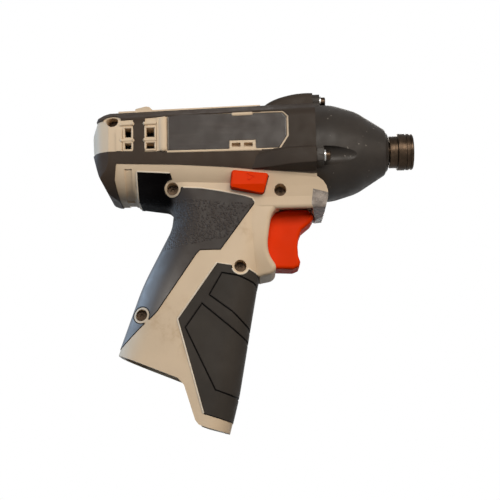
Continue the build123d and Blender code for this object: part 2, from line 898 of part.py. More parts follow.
with BuildPart() as button:
    with BuildSketch(SIDE.offset(BUTTON_INNER)):
        add(button_outline(0.0))
    extrude(amount=REACH - BUTTON_INNER)
    with BuildSketch(across(-110.0)):
        with BuildLine():
            Polyline(
                (0, -10),
                (-BUTTON_FACE, -10),
                (-BUTTON_FACE, BUTTON_BREAK),
                (-BUTTON_SOLE, -28),
                (0, -28),
                close=True,
            )
        make_face()
    extrude(amount=40.0, mode=Mode.INTERSECT)
    rim = button.edges().filter_by(lambda e: e.center().Y < -BUTTON_FACE + 0.001)
    chamfer(rim.filter_by(lambda e: e.center().Z > BUTTON_BREAK + 0.1), BUTTON_EDGE)
    with BuildSketch(SIDE.offset(BUTTON_FACE)):
        with Locations(ARROW_PLACE):
            RegularPolygon(ARROW_RADIUS, 3)
            RegularPolygon(ARROW_RADIUS - ARROW_LINE, 3, mode=Mode.SUBTRACT)
    extrude(amount=-ARROW_DEPTH, mode=Mode.SUBTRACT)
with BuildPart() as selector:
    add(button.part)
    add(mirrored(button.part))
    with BuildSketch(SIDE):
        with Locations(((BAR_REAR + BAR_FRONT) / 2, (BAR_TOP + BAR_BOTTOM) / 2)):
            Rectangle(BAR_FRONT - BAR_REAR, BAR_TOP - BAR_BOTTOM)
    extrude(amount=BUTTON_INNER, both=True)
    with BuildSketch(Plane.XY.offset(BAR_BOTTOM)):
        for side in (-1, 1):
            with Locations((FORK_X, side * (FORK_GAP + FORK_WALL) / 2)):
                Rectangle(5.0, FORK_WALL)
    extrude(amount=FORK_BOTTOM - BAR_BOTTOM)
save(selector.part, "direction_selector")

# Hollows shared by both halves of the casing
TRIGGER_GAP = 0.8
NOSE_ROOM_RADIUS = NOSE_RADIUS + 0.25
POCKET_FLOOR = 17.0


def block(rear, bottom, front, top, half):
    """A box across the middle plane, given by its side view and half its width."""
    return prism(((rear, bottom), (rear, top), (front, top), (front, bottom)), -half, half)


barrel_bore = turned(
    (
        (-168.5, 0),
        (-168.5, REAR_POCKET_RADIUS),
        (FAN_BAY_REAR, REAR_POCKET_RADIUS),
        (FAN_BAY_REAR, FAN_BAY_RADIUS),
        (MOTOR_BAY_REAR, FAN_BAY_RADIUS),
        (MOTOR_BAY_REAR, MOTOR_BAY_RADIUS),
        (GEAR_BAY_REAR, MOTOR_BAY_RADIUS),
        (GEAR_BAY_REAR, GEAR_BAY_RADIUS),
        (BODY_FRONT + 0.1, GEAR_BAY_RADIUS),
        (BODY_FRONT + 0.1, 0),
    )
)
bar_room = block(
    BAR_REAR - SELECTOR_CLEARANCE,
    BAR_BOTTOM - SELECTOR_CLEARANCE,
    BAR_FRONT + SELECTOR_CLEARANCE,
    BAR_TOP + SELECTOR_CLEARANCE,
    POCKET_FLOOR + 1.0,
)
battery_head = prism(((-146.5, -98.5), (-139.2, -76), (-93, -76), (-95.2, -98.5)), -17.5, 17.5)
lamp_room = prism(((-64, -30.6), (-64, -23.0), (-55.6, -23.0), (-56.6, -30.6)), -5.0, 5.0)
with BuildPart() as trigger_roof:
    with BuildSketch(across(-74.5)):
        with BuildLine():
            Polyline(
                (19.4, -33.9),
                (TRIGGER_HALF + TRIGGER_GAP, -32.3),
                (-TRIGGER_HALF - TRIGGER_GAP, -32.3),
                (-19.4, -33.9),
                (-19.4, -40.0),
                (19.4, -40.0),
                close=True,
            )
        make_face()
    extrude(amount=18.0)
hollows = (
    barrel_bore,
    trigger_roof.part,
    block(-117.0, -60.0, -88.0, -30.0, SWITCH_HALF + 0.4),
    block(-90.0, -65.2, -50.0, -32.3, TRIGGER_HALF + TRIGGER_GAP),
    block(-104.0, -36.0, -82.5, -21.2, 8.5),
    block(-116.0, -32.0, -105.0, -16.0, 5.0),
    block(-114.0, -76.5, -107.0, -58.0, 6.0),
    block(-128.2, -77.0, -107.8, -72.0, 9.2),
    bar_room,
    lamp_room,
    battery_head,
)
with BuildPart() as battery_mouth:
    add(handle_form(WALL))
    add(prism(((-190, -170), (-190, -98), (-60, -98), (-60, -170)), -REACH, REACH), mode=Mode.INTERSECT)
with BuildPart() as selector_pocket:
    with BuildSketch(SIDE.offset(POCKET_FLOOR)):
        add(button_outline(SELECTOR_CLEARANCE))
    extrude(amount=REACH - POCKET_FLOOR)
with BuildPart() as nose_room:
    with BuildSketch(across(BODY_FRONT)):
        Circle(NOSE_ROOM_RADIUS)
    extrude(amount=40.0)
with BuildPart() as collar_recess:
    add(collar_zone)
    add(barrel_form(COLLAR_DEPTH), mode=Mode.SUBTRACT)
with BuildPart() as band_recess:
    add(band_zone.part)
    add(barrel_core, mode=Mode.SUBTRACT)
with BuildPart() as palm_recess:
    add(palm_zone.part)
    add(barrel_core, mode=Mode.SUBTRACT)
    add(handle_core, mode=Mode.SUBTRACT)
with BuildPart() as finger_recess:
    add(finger_zone.part)
    add(handle_core, mode=Mode.SUBTRACT)

# Cooling slots at the rear, as side view boxes: left, bottom, right, top
VENTS = (
    (-155.0, 4.8, -151.6, 9.7),
    (-155.0, -2.4, -151.6, 1.6),
    (-143.8, 4.8, -139.4, 9.7),
    (-143.8, -2.4, -139.4, 1.6),
)
NOTCH_SLOTS = ((-98.6, -1.8, -94.0, 0.4), (-92.2, -1.8, -87.6, 0.4))
with BuildPart() as vents:
    for left, low, right, high in VENTS:
        add(prism(((left, low), (right, low), (right, high), (left, high)), 14.0, REACH))
    for left, low, right, high in NOTCH_SLOTS:
        add(prism(((left, low), (right, low), (right, high), (left, high)), 23.0, REACH))
with BuildPart() as ring_slot:
    add(prism(((-155.5, -27), (-155.5, -12), (-151.5, -12), (-151.5, -27)), 5.0, REACH))
    add(barrel_form(0.8), mode=Mode.SUBTRACT)
RIB_PROUD = 0.8
with BuildPart() as ribs:
    add(barrel_form(-RIB_PROUD))
    add(barrel_form(2.0), mode=Mode.SUBTRACT)
    with BuildPart(mode=Mode.INTERSECT):
        add(prism(((-138.0, -3.0), (-138.0, 15.6), (-133.6, 16.2), (-133.6, -3.0)), 0.0, REACH))
        add(prism(((-159.6, -2.5), (-159.6, 9.2), (-156.6, 9.2), (-156.6, -2.5)), 0.0, REACH))
with BuildPart() as spine:
    add(barrel_form(-SPINE_PROUD))
    add(barrel_form(2.0), mode=Mode.SUBTRACT)
    add(spine_cut(), mode=Mode.INTERSECT)
BUMP_HALF = 9.2
BUMP_OUTLINE = ((-151.6, 18), (-150.8, 25.4), (-145.4, 26.7), (-143.4, 26.4), (-141.4, 24.4), (-141.0, 18))
with BuildPart() as bump:
    add(prism(BUMP_OUTLINE, -BUMP_HALF, BUMP_HALF))
    shoulders = bump.edges().filter_by(lambda e: abs(e.center().Y) > BUMP_HALF - 0.1)
    chamfer(shoulders.filter_by(lambda e: e.center().Z > 24.8), 0.9)

# Right half of the casing
with BuildPart() as cheeks:
    add(cheek_form.part)
    add(finger_zone.part, mode=Mode.SUBTRACT)
    add(palm_zone.part, mode=Mode.SUBTRACT)
with BuildPart() as half_form:
    add(barrel_skin)
    add(handle_skin)
    add(chin_form.part)
    add(prism(((-200, -180), (-200, 60), (0, 60), (0, -180)), 0.0, REACH), mode=Mode.INTERSECT)
    add(finger_recess.part, mode=Mode.SUBTRACT)
    add(palm_recess.part, mode=Mode.SUBTRACT)
    add(band_recess.part, mode=Mode.SUBTRACT)
    add(collar_recess.part, mode=Mode.SUBTRACT)
with BuildPart() as half_shell:
    add(half_form.part)
    add(cheeks.part)
    add(ribs.part)
    add(spine.part)
    add(bump.part)
    add(prism(((-200, -180), (-200, 60), (0, 60), (0, -180)), 0.0, REACH), mode=Mode.INTERSECT)
    add(mouth_cut, mode=Mode.SUBTRACT)
    for hollow in hollows:
        add(hollow, mode=Mode.SUBTRACT)
    add(battery_mouth.part, mode=Mode.SUBTRACT)
    add(nose_room.part, mode=Mode.SUBTRACT)
    add(prism(LENS_SIDE, -REACH, REACH), mode=Mode.SUBTRACT)
    add(selector_pocket.part, mode=Mode.SUBTRACT)
    add(plate_pocket.part, mode=Mode.SUBTRACT)
    add(vents.part, mode=Mode.SUBTRACT)
    add(ring_slot.part, mode=Mode.SUBTRACT)
    x, z, seat = CASE_SCREWS[0]
    add(rod(x, z, SCREW_BOSS_RADIUS, 0.0, seat + 2.0))
with BuildPart() as right_housing:
    add(half_shell.part)
    for x, z, seat in CASE_SCREWS:
        add(rod(x, z, SCREW_RECESS_RADIUS, seat, REACH), mode=Mode.SUBTRACT)
        add(rod(x, z, CASE_SCREW_RADIUS + HOLE_CLEARANCE, -1.0, seat + 1.0), mode=Mode.SUBTRACT)
with BuildPart() as left_housing:
    add(half_shell.part)
    for x, z, seat in CASE_SCREWS:
        add(rod(x, z, CASE_SCREW_RADIUS, -1.0, CASE_SCREW_END + 0.5), mode=Mode.SUBTRACT)
    mirror(about=Plane.XZ, mode=Mode.REPLACE)
for name, piece in (("right_housing", right_housing.part), ("left_housing", left_housing.part)):
    save(piece, name)

# Casing screws, all driven from the right
with BuildPart() as housing_screws:
    for x, z, seat in CASE_SCREWS:
        add(rod(x, z, CASE_HEAD_RADIUS, seat, seat + CASE_HEAD_LENGTH))
        add(rod(x, z, CASE_SCREW_RADIUS - THREAD_CLEARANCE, -CASE_SCREW_END, seat))
        with BuildSketch(SIDE.offset(seat + CASE_HEAD_LENGTH)):
            with Locations((x, z)):
                RegularPolygon(1.3, 6)
        extrude(amount=-1.1, mode=Mode.SUBTRACT)
save(housing_screws.part, "housing_screws")

# Lamp lens, lamp and its board
with BuildPart() as lamp_lens:
    add(chin_form.part)
    add(prism(LENS_SIDE, -REACH, REACH), mode=Mode.INTERSECT)
    add(nose_room.part, mode=Mode.SUBTRACT)
save(lamp_lens.part, "lamp_lens")
with BuildPart() as lamp_board:
    with BuildSketch(Plane(origin=(-63.8, 0, -26.8), x_dir=(0, 1, 0), z_dir=(1, 0, 0))):
        Rectangle(9.4, 7.2)
    extrude(amount=1.2)
with BuildPart() as lamp:
    with BuildSketch(Plane(origin=(-62.6, 0, -26.8), x_dir=(0, 1, 0), z_dir=(1, 0, 0))):
        Circle(2.5)
    extrude(amount=5.0)
    fillet(lamp.edges().group_by(Axis.X)[-1], 2.2)
save(lamp_board.part, "lamp_board")
save(lamp.part, "lamp")

# Switch, its reversing lever and the trigger's return spring
SWITCH_PIVOT_X = -100.0
PIVOT_RADIUS = 1.6
LEVER_ARM_Z = SWITCH_TOP + 1.8
LEVER_PIN_LENGTH = 8.0
PLUNGER_GAP = 0.3
with BuildPart() as switch_body:
    add(block(SWITCH_REAR, SWITCH_BOTTOM, SWITCH_FRONT, SWITCH_TOP, SWITCH_HALF))
    fillet(switch_body.edges().filter_by(Axis.X), 1.0)
    with BuildSketch(Plane(origin=(SWITCH_FRONT, 0, PLUNGER_Z), x_dir=(0, 1, 0), z_dir=(-1, 0, 0))):
        Rectangle(PLUNGER_WIDTH + 2 * PLUNGER_GAP, PLUNGER_HEIGHT + 2 * PLUNGER_GAP)
    extrude(amount=PLUNGER_LENGTH, mode=Mode.SUBTRACT)
    with BuildSketch(Plane.XY.offset(SWITCH_TOP)):
        with Locations((SWITCH_PIVOT_X, 0)):
            Circle(PIVOT_RADIUS)
    extrude(amount=5.0)
save(switch_body.part, "switch_body")
with BuildPart() as reverse_lever:
    with BuildSketch(Plane.XY.offset(SWITCH_TOP + 0.2)):
        with Locations((SWITCH_PIVOT_X, 0)):
            Circle(3.4)
    extrude(amount=5.6)
    with BuildSketch(Plane.XY.offset(LEVER_ARM_Z)):
        with Locations(((SWITCH_PIVOT_X + FORK_X) / 2, 0)):
            Rectangle(FORK_X - SWITCH_PIVOT_X, 3.6)
        with Locations((FORK_X, 0)):
            Circle(1.8)
    extrude(amount=3.0)
    with BuildSketch(Plane.XY.offset(LEVER_ARM_Z)):
        with Locations((FORK_X, 0)):
            Circle(1.5)
    extrude(amount=LEVER_PIN_LENGTH)
    with BuildSketch(Plane.XY.offset(SWITCH_TOP)):
        with Locations((SWITCH_PIVOT_X, 0)):
            Circle(PIVOT_RADIUS + RUNNING_CLEARANCE)
    extrude(amount=8.0, mode=Mode.SUBTRACT)
save(reverse_lever.part, "reverse_lever")


def coil(start, end, z, radius, wire, turns):
    """A round wire coil along X between two end faces."""
    length = end - start - 2 * wire
    with BuildPart() as body:
        with BuildLine() as path:
            Helix(length / turns, length, radius, center=(start + wire, 0, z), direction=(1, 0, 0))
        with BuildSketch(Plane(origin=path.line @ 0, z_dir=path.line % 0)):
            Circle(wire)
        sweep(is_frenet=True)
    return body.part


save(coil(SWITCH_FRONT + 0.1, TRIGGER_REAR - 0.1, PLUNGER_Z, 7.2, 0.5, 3), "trigger_spring")

# Battery terminals and the leads from them to the switch
with BuildPart() as terminal_block:
    add(block(-128.0, -79.0, -108.0, -72.1, 9.0))
    chamfer(terminal_block.edges().group_by(Axis.Z)[0], 0.8)
save(terminal_block.part, "terminal_block")
with BuildPart() as terminal_blades:
    for y in (-6.0, 0.0, 6.0):
        add(prism(((-124, -88), (-124, -79), (-114, -79), (-114, -88)), y - 0.4, y + 0.4))
save(terminal_blades.part, "terminal_blades")
with BuildPart() as battery_leads:
    with BuildSketch(Plane.XY.offset(-72.1)):
        with Locations((-110.5, -3.0), (-110.5, 3.0)):
            Circle(1.1)
    extrude(amount=SWITCH_BOTTOM + 72.1)
save(battery_leads.part, "battery_leads")


def drum(rear, front, radius, bore):
    """A round ring on the output axis."""
    with BuildPart() as body:
        with BuildSketch(across(rear)):
            Circle(radius)
            if bore > 0:
                Circle(bore, mode=Mode.SUBTRACT)
        extrude(amount=front - rear)
    return body.part


# Motor: can, magnets, end cap with brushes, bushings
CAN_INNER = CAN_RADIUS - CAN_WALL
BUSHING_RADIUS = 5.0
CAP_REAR = -144.0
COMMUTATOR_RADIUS = 5.0
BRUSH_OUTER = 11.0
motor_can = turned(
    (
        (CAN_REAR, CAN_INNER),
        (CAN_REAR, CAN_RADIUS),
        (CAN_FRONT, CAN_RADIUS),
        (CAN_FRONT, BUSHING_RADIUS),
        (CAN_FRONT - CAN_WALL, BUSHING_RADIUS),
        (CAN_FRONT - CAN_WALL, CAN_INNER),
    )
)
save(motor_can, "motor_can")
with BuildPart() as magnets:
    add(drum(-128.0, -92.0, CAN_INNER, ROTOR_RADIUS + 0.5))
    with BuildSketch(across(-129.0)):
        Rectangle(12.0, 2 * CAN_RADIUS)
    extrude(amount=38.0, mode=Mode.SUBTRACT)
save(magnets.part, "motor_magnets")
with BuildPart() as motor_end_cap:
    add(
        turned(
            (
                (CAP_REAR, BUSHING_RADIUS - 1.0),
                (CAP_REAR, CAN_RADIUS - 0.1),
                (CAN_REAR, CAN_RADIUS - 0.1),
                (CAN_REAR, CAN_INNER),
                (CAP_REAR + 1.5, CAN_INNER),
                (CAP_REAR + 1.5, BUSHING_RADIUS - 1.0),
            )
        )
    )
    for side in (-1, 1):
        with BuildSketch(across(CAP_REAR + 1.5)):
            with Locations((side * 10.5, 0)):
                Rectangle(7.0, 7.0)
        extrude(amount=7.0)
    with BuildSketch(across(CAP_REAR + 2.5)):
        Rectangle(2 * BRUSH_OUTER + 1.0, 4.4)
    extrude(amount=4.9, mode=Mode.SUBTRACT)
save(motor_end_cap.part, "motor_end_cap")
with BuildPart() as brushes:
    for side in (-1, 1):
        with BuildSketch(across(CAP_REAR + 2.6)):
            with Locations((side * (COMMUTATOR_RADIUS + BRUSH_OUTER) / 2, 0)):
                Rectangle(BRUSH_OUTER - COMMUTATOR_RADIUS + 1.0, 4.2)
        extrude(amount=4.7)
    with BuildSketch(across(CAP_REAR)):
        Circle(COMMUTATOR_RADIUS + RUNNING_CLEARANCE)
    extrude(amount=12.0, mode=Mode.SUBTRACT)
save(brushes.part, "motor_brushes")
with BuildPart() as bushings:
    add(drum(CAP_REAR - 0.5, CAP_REAR + 1.9, BUSHING_RADIUS - 1.0, SHAFT_RADIUS + RUNNING_CLEARANCE))
    add(drum(CAN_FRONT - 4.5, CAN_FRONT - 0.2, BUSHING_RADIUS, SHAFT_RADIUS + RUNNING_CLEARANCE))
save(bushings.part, "motor_bushings")

# Rotor: shaft, core, windings, commutator, fan, pinion
PINION_FRONT = -66.0
PRESS = 0.01
save(drum(SHAFT_REAR, PINION_FRONT, SHAFT_RADIUS, 0), "rotor_shaft")
with BuildPart() as rotor_core:
    add(drum(-126.0, -96.0, ROTOR_RADIUS, SHAFT_RADIUS + PRESS))
    with BuildSketch(across(-126.0)):
        with PolarLocations(9.0, 5):
            Rectangle(4.4, 4.0)
        with PolarLocations(12.0, 5):
            Rectangle(3.0, 1.6)
    extrude(amount=30.0, mode=Mode.SUBTRACT)
save(rotor_core.part, "rotor_core")
with BuildPart() as windings:
    for rear in (-131.0, -96.0):
        add(drum(rear, rear + 5.0, 11.4, 4.0))
    with BuildSketch(across(-126.5)):
        with PolarLocations(9.0, 5):
            Rectangle(4.2, 3.8)
    extrude(amount=31.0)
save(windings.part, "rotor_windings")
with BuildPart() as commutator:
    add(drum(-141.6, -134.0, COMMUTATOR_RADIUS, SHAFT_RADIUS + PRESS))
    with BuildSketch(across(-141.6)):
        with PolarLocations(COMMUTATOR_RADIUS, 5):
            Rectangle(1.0, 0.5)
    extrude(amount=7.6, mode=Mode.SUBTRACT)
save(commutator.part, "commutator")
with BuildPart() as fan:
    add(drum(-155.0, -147.0, 4.0, SHAFT_RADIUS + PRESS))
    add(drum(-148.2, -147.0, FAN_RADIUS, SHAFT_RADIUS + PRESS))
    with BuildSketch(across(-155.0)):
        with PolarLocations((FAN_RADIUS + 3.5) / 2 - 0.1, FAN_BLADES):
            Rectangle(FAN_RADIUS - 3.5, 1.2)
    extrude(amount=7.0)
save(fan.part, "cooling_fan")

PRESSURE_ANGLE = math.radians(25.0)


def involute(angle):
    """The involute function of a pressure angle."""
    return math.tan(angle) - angle


def gear_outline(teeth, root, tip, widening):
    """Points round a spur gear with one tooth pointing up, its teeth widened at the pitch line."""
    pitch = GEAR_MODULE * teeth / 2
    base = pitch * math.cos(PRESSURE_ANGLE)
    half = (math.pi * GEAR_MODULE / 2 + widening) / (2 * pitch) + involute(PRESSURE_ANGLE)
    low = max(base, root)
    radii = [low + (tip - low) * step / 3 for step in range(4)]
    flank = [(r, half - involute(math.acos(min(1.0, base / r)))) for r in radii]
    if root < low:
        flank.insert(0, (root, flank[0][1]))
    points = []
    for tooth in range(teeth):
        middle = math.pi / 2 + 2 * math.pi * tooth / teeth
        for r, a in flank:
            points.append((r * math.cos(middle - a), r * math.sin(middle - a)))
        for r, a in reversed(flank):
            points.append((r * math.cos(middle + a), r * math.sin(middle + a)))
    return points


def gear_radii(teeth):
    """Root and tip radius of an outside gear."""
    pitch = GEAR_MODULE * teeth / 2
    return pitch - GEAR_DEDENDUM * GEAR_MODULE, pitch + GEAR_ADDENDUM * GEAR_MODULE


with BuildPart() as pinion:
    with BuildSketch(across(-82.0)):
        with BuildLine():
            Polyline(*gear_outline(SUN_TEETH, *gear_radii(SUN_TEETH), -GEAR_BACKLASH / 2), close=True)
        make_face()
        Circle(SHAFT_RADIUS + PRESS, mode=Mode.SUBTRACT)
    extrude(amount=PINION_FRONT + 82.0)
save(pinion.part, "pinion")
PIN_RADIUS = 2.0


def planet_plane(index, x):
    """The plane of one planet at a station, its upward direction pointing out to the ring."""
    turn = 2 * math.pi * index / PLANETS
    return Plane(
        origin=(x, -PLANET_ORBIT * math.sin(turn), PLANET_ORBIT * math.cos(turn)),
        x_dir=(0, math.cos(turn), math.sin(turn)),
        z_dir=(1, 0, 0),
    )


for index in range(PLANETS):
    with BuildPart() as planet:
        with BuildSketch(planet_plane(index, GEAR_REAR)):
            with BuildLine():
                teeth = gear_outline(PLANET_TEETH, *gear_radii(PLANET_TEETH), -GEAR_BACKLASH / 2)
                Polyline(*teeth, close=True)
            make_face()
            Circle(PIN_RADIUS, mode=Mode.SUBTRACT)
        extrude(amount=GEAR_FRONT - GEAR_REAR)
    save(planet.part, "planet_gear_" + str(index + 1))
with BuildPart() as ring_gear:
    with BuildSketch(across(-75.5)):
        Circle(RING_OUTER_RADIUS)
        with BuildLine():
            pitch = GEAR_MODULE * RING_TEETH / 2
            inner = pitch - GEAR_ADDENDUM * GEAR_MODULE
            outer = pitch + GEAR_DEDENDUM * GEAR_MODULE
            Polyline(*gear_outline(RING_TEETH, inner, outer, GEAR_BACKLASH / 2), close=True)
        make_face(mode=Mode.SUBTRACT)
    extrude(amount=10.5)
save(ring_gear.part, "ring_gear")

# Spindle with the planet carrier at its rear, its pins and its bearing
POCKET_RADIUS = 8.4
BORE_FRONT = -65.2
CAM_BALL_ORBIT = 7.9
with BuildPart() as spindle:
    add(
        turned(
            (
                (-81.0, 4.6),
                (-81.0, HUB_RADIUS),
                (CARRIER_REAR, HUB_RADIUS),
                (CARRIER_REAR, CARRIER_RADIUS),
                (CARRIER_FRONT, CARRIER_RADIUS),
                (CARRIER_FRONT, SPINDLE_RADIUS),
                (-36.5, SPINDLE_RADIUS),
                (-36.5, PILOT_RADIUS),
                (-30.0, PILOT_RADIUS),
                (-30.0, 0),
                (BORE_FRONT, 0),
                (BORE_FRONT, 4.6),
            )
        )
    )
    for index in range(PLANETS):
        with BuildSketch(planet_plane(index, GEAR_REAR - 0.4)):
            Circle(POCKET_RADIUS)
        extrude(amount=GEAR_FRONT - GEAR_REAR + 0.8, mode=Mode.SUBTRACT)
        with BuildSketch(planet_plane(index, CARRIER_REAR - 1.0)):
            Circle(PIN_RADIUS)
        extrude(amount=CARRIER_FRONT - CARRIER_REAR + 2.0, mode=Mode.SUBTRACT)
    with Locations((CAM_BALL_X, 0, CAM_BALL_ORBIT), (CAM_BALL_X, 0, -CAM_BALL_ORBIT)):
        Sphere(CAM_BALL_RADIUS + RUNNING_CLEARANCE, mode=Mode.SUBTRACT)
save(spindle.part, "spindle")
with BuildPart() as planet_pins:
    for index in range(PLANETS):
        with BuildSketch(planet_plane(index, CARRIER_REAR)):
            Circle(PIN_RADIUS - RUNNING_CLEARANCE)
        extrude(amount=CARRIER_FRONT - CARRIER_REAR)
save(planet_pins.part, "planet_pins")
BEARING_RADIUS = 13.4
save(drum(-81.4, -77.2, BEARING_RADIUS, HUB_RADIUS + RUNNING_CLEARANCE), "spindle_bearing")
with BuildPart() as motor_plate:
    add(drum(-84.0, -81.5, RING_OUTER_RADIUS, 4.8))
    add(drum(-81.5, -77.0, 17.0, BEARING_RADIUS + RUNNING_CLEARANCE))
save(motor_plate.part, "motor_plate")

# Hammer with its spring, washer and cam balls
LUG_RADIUS = 16.4
LUG_INNER = 9.5
LUG_FRONT = -31.0
POCKET_FRONT = -43.0
WASHER_FRONT = CARRIER_FRONT + 1.0
with BuildPart() as hammer:
    add(
        turned(
            (
                (HAMMER_FRONT, SPINDLE_RADIUS + 0.35),
                (HAMMER_FRONT, HAMMER_RADIUS - 1.0),
                (HAMMER_FRONT - 1.0, HAMMER_RADIUS),
                (HAMMER_REAR, HAMMER_RADIUS),
                (HAMMER_REAR, 16.0),
                (POCKET_FRONT, 16.0),
                (POCKET_FRONT, 10.8),
                (HAMMER_REAR, 10.8),
                (HAMMER_REAR, SPINDLE_RADIUS + 0.35),
            )
        )
    )
    with BuildSketch(across(HAMMER_FRONT)):
        Circle(LUG_RADIUS)
        Circle(LUG_INNER, mode=Mode.SUBTRACT)
        Rectangle(2 * LUG_RADIUS, DOG_WIDTH, mode=Mode.INTERSECT)
    extrude(amount=LUG_FRONT - HAMMER_FRONT)
    with BuildSketch(across(CAM_BALL_X - CAM_BALL_RADIUS - 0.4)):
        with Locations((0, CAM_BALL_ORBIT), (0, -CAM_BALL_ORBIT)):
            Circle(CAM_BALL_RADIUS + 0.2)
    extrude(amount=2 * CAM_BALL_RADIUS + HAMMER_TRAVEL + 0.8, mode=Mode.SUBTRACT)
save(hammer.part, "hammer")
with BuildPart() as cam_balls:
    with Locations((CAM_BALL_X, 0, CAM_BALL_ORBIT), (CAM_BALL_X, 0, -CAM_BALL_ORBIT)):
        Sphere(CAM_BALL_RADIUS)
save(cam_balls.part, "cam_balls")
save(drum(CARRIER_FRONT, WASHER_FRONT, 16.0, SPINDLE_RADIUS + 0.1), "spring_washer")
save(coil(WASHER_FRONT, POCKET_FRONT - 0.1, 0.0, 13.4, 1.2, 4), "hammer_spring")

# Anvil with the bit socket, in its bush
with BuildPart() as anvil:
    add(
        turned(
            (
                (0, 0),
                (0, ANVIL_RADIUS - 0.4),
                (-0.4, ANVIL_RADIUS),
                (DOG_FRONT, ANVIL_RADIUS),
                (DOG_FRONT, LUG_INNER - 0.5),
                (DOG_REAR, LUG_INNER - 0.5),
                (DOG_REAR, PILOT_RADIUS + 0.1),
                (-29.4, PILOT_RADIUS + 0.1),
                (-29.4, 0),
            )
        )
    )
    with BuildSketch(across(DOG_REAR)):
        Circle(DOG_RADIUS)
        Circle(LUG_INNER - 1.0, mode=Mode.SUBTRACT)
        Rectangle(DOG_WIDTH, 2 * DOG_RADIUS, mode=Mode.INTERSECT)
    extrude(amount=DOG_FRONT - DOG_REAR)
    with BuildSketch(across(0)):
        RegularPolygon(HEX_ACROSS_FLATS / 2, 6, major_radius=False)
    extrude(amount=-HEX_DEPTH, mode=Mode.SUBTRACT)
    with BuildSketch(Plane.XZ):
        with Locations((BALL_X, 0)):
            Circle(BALL_RADIUS + RUNNING_CLEARANCE)
    extrude(amount=ANVIL_RADIUS + 1.0, both=True, mode=Mode.SUBTRACT)
    with BuildSketch(across(-1.2)):
        Circle(ANVIL_RADIUS + 1.0)
        Circle(ANVIL_RADIUS - 0.65, mode=Mode.SUBTRACT)
    extrude(amount=0.75, mode=Mode.SUBTRACT)
save(anvil.part, "anvil")
save(drum(-27.2, NOSE_FRONT - 0.1, BUSH_RADIUS - 0.02, ANVIL_RADIUS + RUNNING_CLEARANCE), "anvil_bush")

# Quick release sleeve and what it holds
LAND_RADIUS = 6.25
RELIEF_RADIUS = 7.05
CHAMBER_RADIUS = 8.3
CHAMBER_REAR = -6.5
collet_sleeve = turned(
    (
        (SLEEVE_REAR, RELIEF_RADIUS),
        (-12.9, RELIEF_RADIUS),
        (BALL_X - 0.2, LAND_RADIUS),
        (CHAMBER_REAR, LAND_RADIUS),
        (CHAMBER_REAR, CHAMBER_RADIUS),
        (SLEEVE_FRONT, CHAMBER_RADIUS),
        (SLEEVE_FRONT, SLEEVE_RING_RADIUS - 0.7),
        (SLEEVE_FRONT - 0.5, SLEEVE_RING_RADIUS - 0.2),
        (-1.7, SLEEVE_RING_RADIUS - 0.2),
        (-1.9, SLEEVE_RING_RADIUS - 0.6),
        (-2.5, SLEEVE_RING_RADIUS - 0.6),
        (-2.7, SLEEVE_RING_RADIUS - 0.1),
        (-4.0, SLEEVE_RING_RADIUS - 0.1),
        (-4.2, SLEEVE_RING_RADIUS - 0.5),
        (-4.8, SLEEVE_RING_RADIUS - 0.5),
        (-5.0, SLEEVE_RING_RADIUS),
        (SLEEVE_STEP + 0.4, SLEEVE_RING_RADIUS),
        (SLEEVE_STEP, SLEEVE_RING_RADIUS - 0.4),
        (SLEEVE_STEP, SLEEVE_NECK_RADIUS),
        (SLEEVE_REAR + 0.3, SLEEVE_NECK_RADIUS),
        (SLEEVE_REAR, SLEEVE_NECK_RADIUS - 0.3),
    )
)
save(collet_sleeve, "collet_sleeve")
COLLET_WASHER_REAR = -1.95
save(coil(CHAMBER_REAR + 0.05, COLLET_WASHER_REAR - 0.05, 0.0, 7.0, 0.45, 3), "collet_spring")
save(drum(COLLET_WASHER_REAR, -1.15, 8.0, ANVIL_RADIUS + 0.05), "collet_washer")
with BuildPart() as snap_ring:
    add(drum(-1.15, -0.5, ANVIL_RADIUS + 1.1, ANVIL_RADIUS - 0.6))
    with BuildSketch(across(-1.5)):
        with Locations((0, ANVIL_RADIUS)):
            Rectangle(2.4, 4.0)
    extrude(amount=2.0, mode=Mode.SUBTRACT)
save(snap_ring.part, "collet_snap_ring")
for label, side in (("detent_ball_right", -1), ("detent_ball_left", 1)):
    with BuildPart() as ball:
        with Locations((BALL_X, side * BALL_REACH, 0)):
            Sphere(BALL_RADIUS)
    save(ball.part, label)
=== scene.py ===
import json
import math

import bmesh
import bpy
from mathutils import Matrix, Vector
from mathutils.bvhtree import BVHTree

